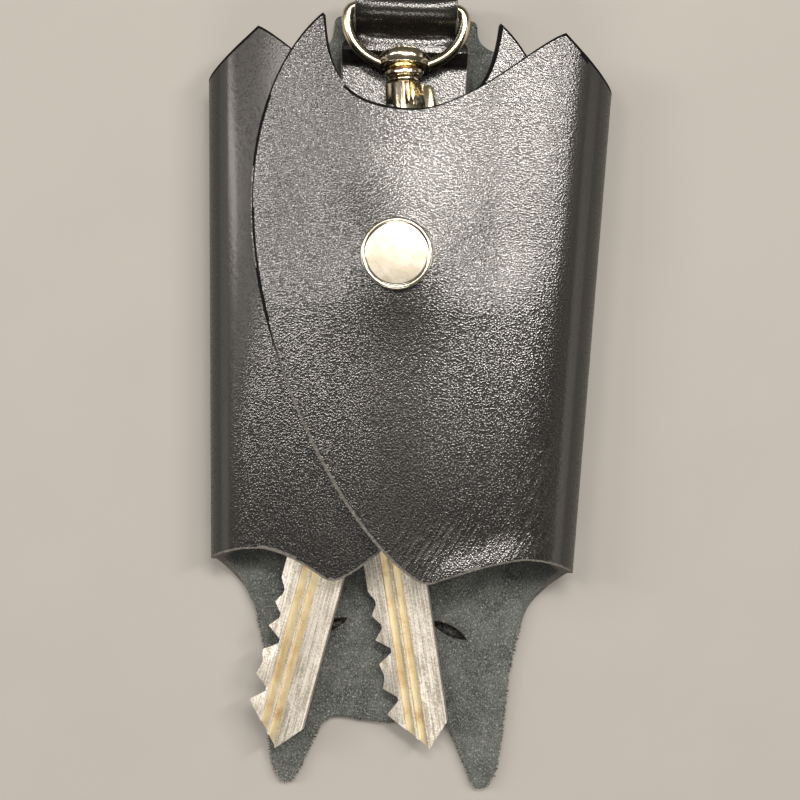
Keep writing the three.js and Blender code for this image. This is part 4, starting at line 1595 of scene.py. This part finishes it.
@dataclass(frozen=True)
class Key:
    """One flat key with milled grooves, hung by the hole in its bow."""

    side: Side
    turn: float
    roll: float = -7.0
    thick: float = 1.8
    half: float = 4.3
    bow: float = 10.2
    rounding: float = 0.16
    groove: float = 0.12
    border: float = 0.4

    @property
    def name(self) -> str:
        """Name of the CAD solid that it stands for."""
        return f"{self.side.word}_key"

    def matrix(self) -> Matrix:
        """Finds the key's place, with its hole on the joint.

        Returns:
            Matrix in millimetres.
        """
        place = Vector(joint_of(f"{self.name}_swing")["pos_m"]) / MM
        turn = Matrix.Rotation(math.radians(self.turn), 4, "Z")
        return Matrix.Translation(place) @ turn @ Matrix.Rotation(math.radians(self.roll), 4, "Y")

    def build(self, finishes: Finishes) -> Piece:
        """Copies the blank, cleans it and dresses it with its grooves marked.

        Args:
            finishes: Materials.

        Returns:
            The key.
        """
        obj = refined(self.name, f"{self.name}_plate", self.rounding)
        grid = np.array(self.matrix().inverted())
        local = points_of(obj) @ grid[:3, :3].T + grid[:3, 3]
        mark(obj, "blade_mm", local)
        blade = local[:, 1] < -self.bow
        deep = np.abs(local[:, 2]) < self.thick / 2 - self.groove
        mark(obj, "groove", (blade & deep & (np.abs(local[:, 0]) < self.half - self.border)).astype(float))
        dress(obj, finishes.key)
        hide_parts(self.name)
        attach(obj, self.name)
        return obj


def refined(node: str, name: str, rounding: float, angle: float = 32.0) -> Piece:
    """Copies a CAD solid as one clean mesh with softened edges.

    Args:
        node: CAD node.
        name: Name of the copy.
        rounding: Width of the rounding.
        angle: Smallest angle of an edge that is rounded.

    Returns:
        The copy, in place and shaded smooth.
    """
    source = bpy.data.objects[node]
    obj = linked(name, source.data.copy())
    obj.data.transform(source.matrix_world)
    obj.data.materials.clear()
    with editing(obj):
        bpy.ops.mesh.remove_doubles(threshold=0.002 * MM)
        bpy.ops.mesh.dissolve_limited(angle_limit=math.radians(0.5))
    limit = math.radians(angle)
    bevel(obj, rounding, 2, limit_method="ANGLE", angle_limit=limit, use_clamp_overlap=True)
    face_out(obj)
    smooth(obj, angle)
    return obj


@dataclass(frozen=True)
class Hardware:
    """Fittings whose CAD shape is right, cleaned and softened."""

    node: str
    body: str
    slot: str
    rounding: float
    top: float = 0.0

    def shorten(self, obj: Piece) -> None:
        """Cuts off what would stand out of the saddle.

        Args:
            obj: Copy of the fitting.
        """
        size, level = 12.0, 8.0
        clear_selection()
        bpy.ops.mesh.primitive_cube_add(size=size * MM)
        tool = bpy.context.object
        moved(tool, Matrix.Translation((0, self.top + size / 2, level)))
        cut(obj, tool)

    def build(self, finishes: Finishes) -> Piece:
        """Copies and dresses one fitting.

        Args:
            finishes: Materials.

        Returns:
            The fitting.
        """
        obj = refined(self.node, f"{self.node}_metal", self.rounding)
        if self.top:
            self.shorten(obj)
        plate = finishes.casting if self.node.startswith("clasp") else finishes.nickel
        dress(obj, finishes.steel if self.slot == "steel" else plate)
        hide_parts(self.node)
        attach(obj, self.body)
        return obj


@dataclass(frozen=True)
class ClaspEye:
    """Wire loop that the strap wraps, with a pinched saddle over the swivel."""

    blank: Blank
    half: float = 8.5
    wire: float = 0.85
    bar: float = 56.9
    level: float = 7.8
    corner: float = 1.7
    saddle_half: float = 3.95
    saddle_rise: float = 3.3
    saddle_wall: float = 0.75
    saddle_low: Point = (48.1, 0.55)  # place of the edge at the feet, and its rise to the middle
    saddle_high: Point = (48.75, 1.95)
    pinch: float = 0.07
    rounding: float = 0.18
    shoulder: float = 52.2
    bow: Point = (6.3, 49.6)
    foot: Point = (3.4, 48.75)

    def path(self) -> Array:
        """Samples the wire from one foot of the saddle round to the other.

        Returns:
            X and Y of the wire's middle line.
        """
        turn, half, bar = self.corner, self.half, self.bar
        right = joined(
            bezier([(0, bar), (half - turn, bar)], 6),
            bezier([(half - turn, bar), (half, bar), (half, bar - turn)], 10),
            bezier([(half, bar - turn), (half, self.shoulder), self.bow, self.foot], 24),
        )
        return np.concatenate([(right * (-1, 1))[:0:-1], right])

    def saddle(self, across: Array, along: Array) -> Array:
        """Lays the saddle's grid over the swivel.

        Args:
            across: Shares from left to right.
            along: Shares from the lower to the upper edge.

        Returns:
            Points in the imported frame.
        """
        angle = (across - 0.5) * math.pi
        high = np.cos(angle)
        low_edge = self.saddle_low[0] + self.saddle_low[1] * high
        high_edge = self.saddle_high[0] + self.saddle_high[1] * high
        waist = 1 - self.pinch * np.sin(math.pi * along)
        x = self.blank.hardware_x + self.saddle_half * waist * np.sin(angle)
        y = low_edge + (high_edge - low_edge) * along + self.blank.home
        return np.stack([x, y, self.level + self.saddle_rise * waist * high], axis=1)

    def build(self, finishes: Finishes) -> Piece:
        """Bends the wire, presses the saddle and dresses both as one.

        Args:
            finishes: Materials.

        Returns:
            The eye.
        """
        curve = bpy.data.curves.new("clasp_eye_metal", "CURVE")
        curve.dimensions = "3D"
        curve.bevel_depth = self.wire * MM
        curve.bevel_resolution = 6
        curve.use_fill_caps = True
        path = self.path()
        line = curve.splines.new("POLY")
        line.points.add(len(path) - 1)
        for point, (x, y) in zip(line.points, path):
            place = (x + self.blank.hardware_x, y + self.blank.home, self.level)
            point.co = (*(v * MM for v in place), 1)
        obj = linked("clasp_eye_metal", curve)
        activate(obj)
        bpy.ops.object.convert(target="MESH")
        saddle = sheet("clasp_saddle", 40, 12, self.saddle)
        apply_modifier(saddle, "SOLIDIFY", thickness=self.saddle_wall * MM, offset=-1.0)
        bevel(saddle, self.rounding, 3, limit_method="ANGLE", angle_limit=math.radians(50))
        activate(obj)
        saddle.select_set(True)
        bpy.ops.object.join()
        face_out(obj)
        smooth(obj, 45)
        dress(obj, finishes.casting)
        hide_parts("clasp_eye")
        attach(obj, "back")
        return obj


@dataclass(frozen=True)
class SwivelRing:
    """Turned ring on the swivel's axis, given by its profile below the saddle."""

    name: str
    radius: float
    top: float
    bottom: float
    lean: float
    warm: bool
    rounding: float = 0.3
    steps: int = 64

    def build(self, finishes: Finishes) -> Piece:
        """Turns and dresses the ring.

        Args:
            finishes: Materials.

        Returns:
            The ring.
        """
        turn, reach = self.rounding, self.radius
        profile = [(0.0, self.top)]
        for centre, start, end in ((self.top - turn, 90, 0), (self.bottom + turn, 0, -90)):
            for angle in np.radians(np.linspace(start, end, 6)):
                profile.append((reach - turn + turn * math.cos(angle), centre + turn * math.sin(angle)))
        profile.append((0.0, self.bottom))
        obj = turned(self.name, profile, self.steps)
        swivel = joint_of("clasp_swivel")
        up = -Vector(swivel["axis"]).normalized()
        side = up.cross(Vector((0, 0, 1))).normalized()
        basis = Matrix((side, side.cross(up) * -1, up)).transposed()
        points = points_of(obj)
        points[:, 2] += self.lean * points[:, 1]
        grid = np.array(basis)
        set_points(obj, points @ grid.T + np.array(swivel["pos_m"]) / MM)
        face_out(obj)
        dress(obj, finishes.brass if self.warm else finishes.casting)
        smooth(obj, 40)
        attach(obj, "clasp")
        return obj


@dataclass(frozen=True)
class EdgeFray:
    """Loose fibres round the head, the ears and the eye slots; in the slots they also fill the opening as a
    dark stand-in for its shade.
    """

    blank: Blank
    seed: int = 11
    round_edge: int = 900
    # many fibres in each eye slot: partly real fuzz, partly a dark fill for the shade inside the slot
    each_eye: int = 420
    radius: float = 0.05  # thicker than real fibres, so that they show
    head_height: float = -0.62  # share of the body height below which the edge frays
    stray_share: float = 0.3
    root_depth: float = 0.15
    edge_length: Point = (0.3, 0.8)  # shortest and longest
    slot_length: Point = (0.7, 1.5)
    most_droop: float = 0.25

    def fibre(self, root: Vector, way: Vector, length: float, droop: float) -> Shell:
        """Shapes one fibre as a thin bent spike.

        Args:
            root: Where it starts.
            way: Its direction.
            length: Its length.
            droop: How far its tip bends down.

        Returns:
            Points and faces.
        """
        side = way.cross(Vector((0, 0, 1))).normalized() * self.radius
        lift = side.cross(way).normalized() * self.radius
        points = []
        for share, thin in ((0.0, 1.0), (0.55, 0.8)):
            centre = root + way * (length * share) - Vector((0, 0, droop * share**2))
            back = centre - side * (thin / 2)
            points += [centre + side * thin, back + lift * thin, back - lift * thin]
        points.append(root + way * length - Vector((0, 0, droop)))
        faces = [[0, 2, 1], [0, 1, 4, 3], [1, 2, 5, 4], [2, 0, 3, 5], [3, 4, 6], [4, 5, 6], [5, 3, 6]]
        return points, faces

    def lines(self) -> list[tuple[Array, int, bool]]:
        """Lists the cuts that fray.

        Returns:
            Points along each, its number of fibres, and True for an eye slot.
        """
        lines = []
        for side in Side:
            half = self.blank.panel_half(side)
            low = half[half[:, 1] < self.head_height * self.blank.body_height] * (side.value, 1)
            lines.append((low, self.round_edge // 2, False))
            eye = self.blank.eye(side)
            lines.append((np.concatenate([eye, eye[:1]]), self.each_eye, True))
        return lines

    def build(self, finishes: Finishes) -> Piece:
        """Plants the fibres and dresses them.

        Args:
            finishes: Materials.

        Returns:
            All fibres as one piece.
        """
        blank, draw = self.blank, random.Random(self.seed)
        points: list[Vector] = []
        faces: list[list[int]] = []
        for line, count, slot in self.lines():
            run = np.concatenate([[0], np.cumsum(np.hypot(*np.diff(line, axis=0).T))])
            middle = line[:-1].mean(axis=0)
            for _ in range(count):
                at = draw.random() * run[-1]
                k = min(int(np.searchsorted(run, at, side="right")) - 1, len(line) - 2)
                step = line[k + 1] - line[k]
                step = step / np.hypot(*step)
                x, y = line[k] + step * (at - run[k])
                out = Vector((-step[1], step[0], 0)) * (1 if line[0, 0] > 0 or slot else -1)
                stray = slot and draw.random() < self.stray_share
                # In an eye slot most fibres point inward across the opening: partly real fuzz, partly a dark
                # fill standing in for the shade inside the slot.
                if slot:
                    out = Vector((middle[0] - x, (middle[1] - y) * 3, 0)).normalized() * (-1 if stray else 1)
                along = Vector((step[0], step[1], 0)) * draw.uniform(-0.7, 0.7)
                way = out * draw.uniform(0.5, 1.0) + along
                way = (way + Vector((0, 0, draw.uniform(-0.3, 0.5)))).normalized()
                height = blank.leather - 0.02 if stray else draw.uniform(0.5, blank.leather - 0.1)
                way.z = abs(way.z) * 0.4 if stray else way.z
                root = Vector((x, y + blank.home, height)) - out * self.root_depth
                length = draw.uniform(*(self.slot_length if slot and not stray else self.edge_length))
                spot, shell = self.fibre(root, way, length, draw.uniform(0.0, self.most_droop))
                faces += [[i + len(points) for i in face] for face in shell]
                points += spot
        obj = shaped("head_edge_fray", [tuple(p * MM) for p in points], [], faces)
        face_out(obj)
        dress(obj, finishes.fibre)
        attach(obj, "back")
        return obj


@dataclass(frozen=True)
class Studio:
    """Pale table, soft lamps and the photo's camera."""

    floor: str = "#b0ada8"
    cloud: str = "#aba8a3"
    lamp_colour: str = "#fff8f0"
    room_colour: str = "#fff8ee"
    floor_size: float = 3.0  # metres
    floor_drop: float = 0.2
    walls: float = 0.1
    ceiling: float = 1.2
    window_lean: float = 14.0
    window_edge: Point = (0.95, 0.986)  # cosines between which it fades in
    lens_half: float = 400 / 1600  # half the picture over the focal length, in pixels
    over_x: float = 0.34
    over_y: float = -0.979
    height: float = 240.0
    roll: float = 2.2
    # Name, place in metres, width and depth in metres, and watts.
    lamps: tuple[tuple[str, tuple[float, float, float], Point, float], ...] = (
        ("top_lamp", (0.05, 0.176, 0.47), (0.17, 0.06), 1.15),
        ("right_lamp", (0.26, 0.14, 0.47), (0.045, 0.19), 0.95),
        ("upper_left_lamp", (-0.16, 0.11, 0.47), (0.05, 0.11), 0.4),
        ("left_lamp", (-0.4, 0.1, 0.42), (0.06, 0.24), 0.85),
        ("right_panel", (0.5, 0.0, 0.16), (0.3, 0.25), 0.28),
        ("left_panel", (-0.5, 0.0, 0.16), (0.3, 0.25), 0.3),
        ("near_lamp", (0.0, -0.34, 0.34), (0.3, 0.12), 0.45),
    )

    def lamp(self, name: str, place: tuple[float, float, float], size: Point, power: float) -> None:
        """Adds a soft lamp that looks at the cover.

        Args:
            name: Lamp name.
            place: Where it hangs, in metres.
            size: Width and depth in metres.
            power: Power in watts.
        """
        data = bpy.data.lights.new(name, "AREA")
        data.shape = "RECTANGLE"
        data.size, data.size_y = size
        data.energy = power
        data.color = linear(self.lamp_colour)[:3]
        obj = linked(name, data)
        obj.location = place
        obj.rotation_euler = (-obj.location).to_track_quat("-Z", "Y").to_euler()

    def world(self) -> None:
        """Lights the room: one soft window overhead, leaning to the top of the picture, and dim walls."""
        world = bpy.data.worlds.new("soft_room")
        bpy.context.scene.world = world
        world.use_nodes = True
        world.node_tree.nodes.clear()
        node = partial(add_node, world.node_tree)
        aim = node("TexCoord", "Generated")
        lean = math.radians(self.window_lean)
        up = (0.0, math.sin(lean), math.cos(lean))
        near = node("VectorMath", "Value", {"operation": "DOT_PRODUCT", 1: up}, {0: aim})
        limits = {"From Min": self.window_edge[0], "From Max": self.window_edge[1]}
        levels = {"To Min": self.walls, "To Max": self.ceiling, "interpolation_type": "SMOOTHSTEP"}
        above = node("MapRange", "Result", limits | levels, {"Value": near})
        light = node("Background", "Background", {"Color": linear(self.room_colour)}, {"Strength": above})
        node("OutputWorld", 0, None, {"Surface": light})

    def table(self) -> None:
        """Sets the table, just below the cover."""
        clear_selection()
        bpy.ops.mesh.primitive_plane_add(size=self.floor_size, location=(0, 0, 0))
        table = bpy.context.object
        table.name = "table_top"
        set_points(table, points_of(table) - (0, 0, self.floor_drop))
        # Plain matt paint: an even pale ground with a cloud in it that is only just seen.
        material, node = blank_material("pale_matt_table")
        place = node("TexCoord", "Object")
        cloud = node("TexNoise", "Fac", {"Scale": 60.0, "Detail": 3.0}, {"Vector": place})
        tones = {"data_type": "RGBA", 6: linear(self.floor), 7: linear(self.cloud)}
        colour = node("Mix", 2, tones, {0: cloud})
        close_material(node, {"Roughness": 0.75}, {"Base Color": colour})
        dress(table, material)

    def camera(self) -> None:
        """Hangs the camera straight above the cover."""
        lens = bpy.data.cameras.new("photo_camera")
        lens.angle = 2 * math.atan(self.lens_half)
        lens.clip_start = 0.01
        camera = linked("photo_camera", lens)
        camera.location = (self.over_x * MM, self.over_y * MM, self.height * MM)
        camera.rotation_euler = (0, 0, math.radians(self.roll))
        bpy.context.scene.camera = camera
        bpy.context.scene.view_settings.view_transform = "Standard"

    def build(self) -> None:
        """Sets the table, world, lamps and camera."""
        self.table()
        self.world()
        for lamp in self.lamps:
            self.lamp(*lamp)
        self.camera()


def main() -> None:
    """Builds the cover piece by piece."""
    logging.basicConfig(level=logging.INFO)
    finishes = Finishes.made()
    blank = Blank()
    left = Fold(blank, Side.LEFT, bend=4.6, top=12.5)
    right = Fold(blank, Side.RIGHT, bend=5.9, top=17.3)
    builders: list[Any] = [
        BackPanel(blank, left, right),
        SideFold(left),
        SideFold(right),
        Wing(
            left,
            toe=blank.at(0.3, -0.492),
            smooth_foot=1.2,
            smooth_gain=9.0,
            smooth_top=36.0,
            wrinkles=(Wrinkles(0.06, centre=1.0, width=3.0),),
        ),
        Wing(
            right,
            toe=blank.at(0.185, -0.484),
            smooth_foot=1.65,
            smooth_gain=1.35,
            smooth_top=40.0,
            wrinkles=(
                Wrinkles(0.2, centre=3.0, width=6.0, fade=(-16.0, 4.0)),
                Wrinkles(0.45, centre=16.0, width=10.0, fade=(-22.0, -12.0)),
            ),
            sag_edge=0.3,
            sag_middle=1.3,
            flare_lift=0.35,
        ),
        HangerStrap(blank),
        SnapCap(blank),
        Key(Side.LEFT, turn=-12.7),
        Key(Side.RIGHT, turn=11.0),
        ClaspEye(blank),
        SwivelRing("swivel_bush", radius=2.6, top=1.5, bottom=-0.5, lean=0.0, warm=True),
        SwivelRing("swivel_collar", radius=2.8, top=-0.3, bottom=-1.25, lean=0.08, warm=False),
        EdgeFray(blank),
        Hardware("clasp_hook", "clasp", "nickel", rounding=0.12, top=49.4),
        Hardware("clasp_trigger", "trigger", "nickel", rounding=0.12),
        Hardware("trigger_pin", "clasp", "steel", rounding=0.08),
        Hardware("key_ring", "ring", "steel", rounding=0.1),
        Hardware("snap_socket", "right_wing", "nickel", rounding=0.06),
        Hardware("snap_stud", "left_wing", "nickel", rounding=0.06),
        Hardware("snap_eyelet", "left_wing", "nickel", rounding=0.06),
    ]
    for side in Side:
        builders.append(Hardware(f"{side.word}_rivet_cap", "back", "nickel", rounding=0.08))
        builders.append(Hardware(f"{side.word}_rivet_foot", "back", "nickel", rounding=0.08))
    for builder in builders:
        piece = builder.build(finishes)
        log.info("%s: %d faces", piece.name, len(piece.data.polygons))
    for node in ("snap_spring", "trigger_spring"):
        dress(bpy.data.objects[node], finishes.steel)
    Studio().build()


if __name__ == "__main__":
    main()
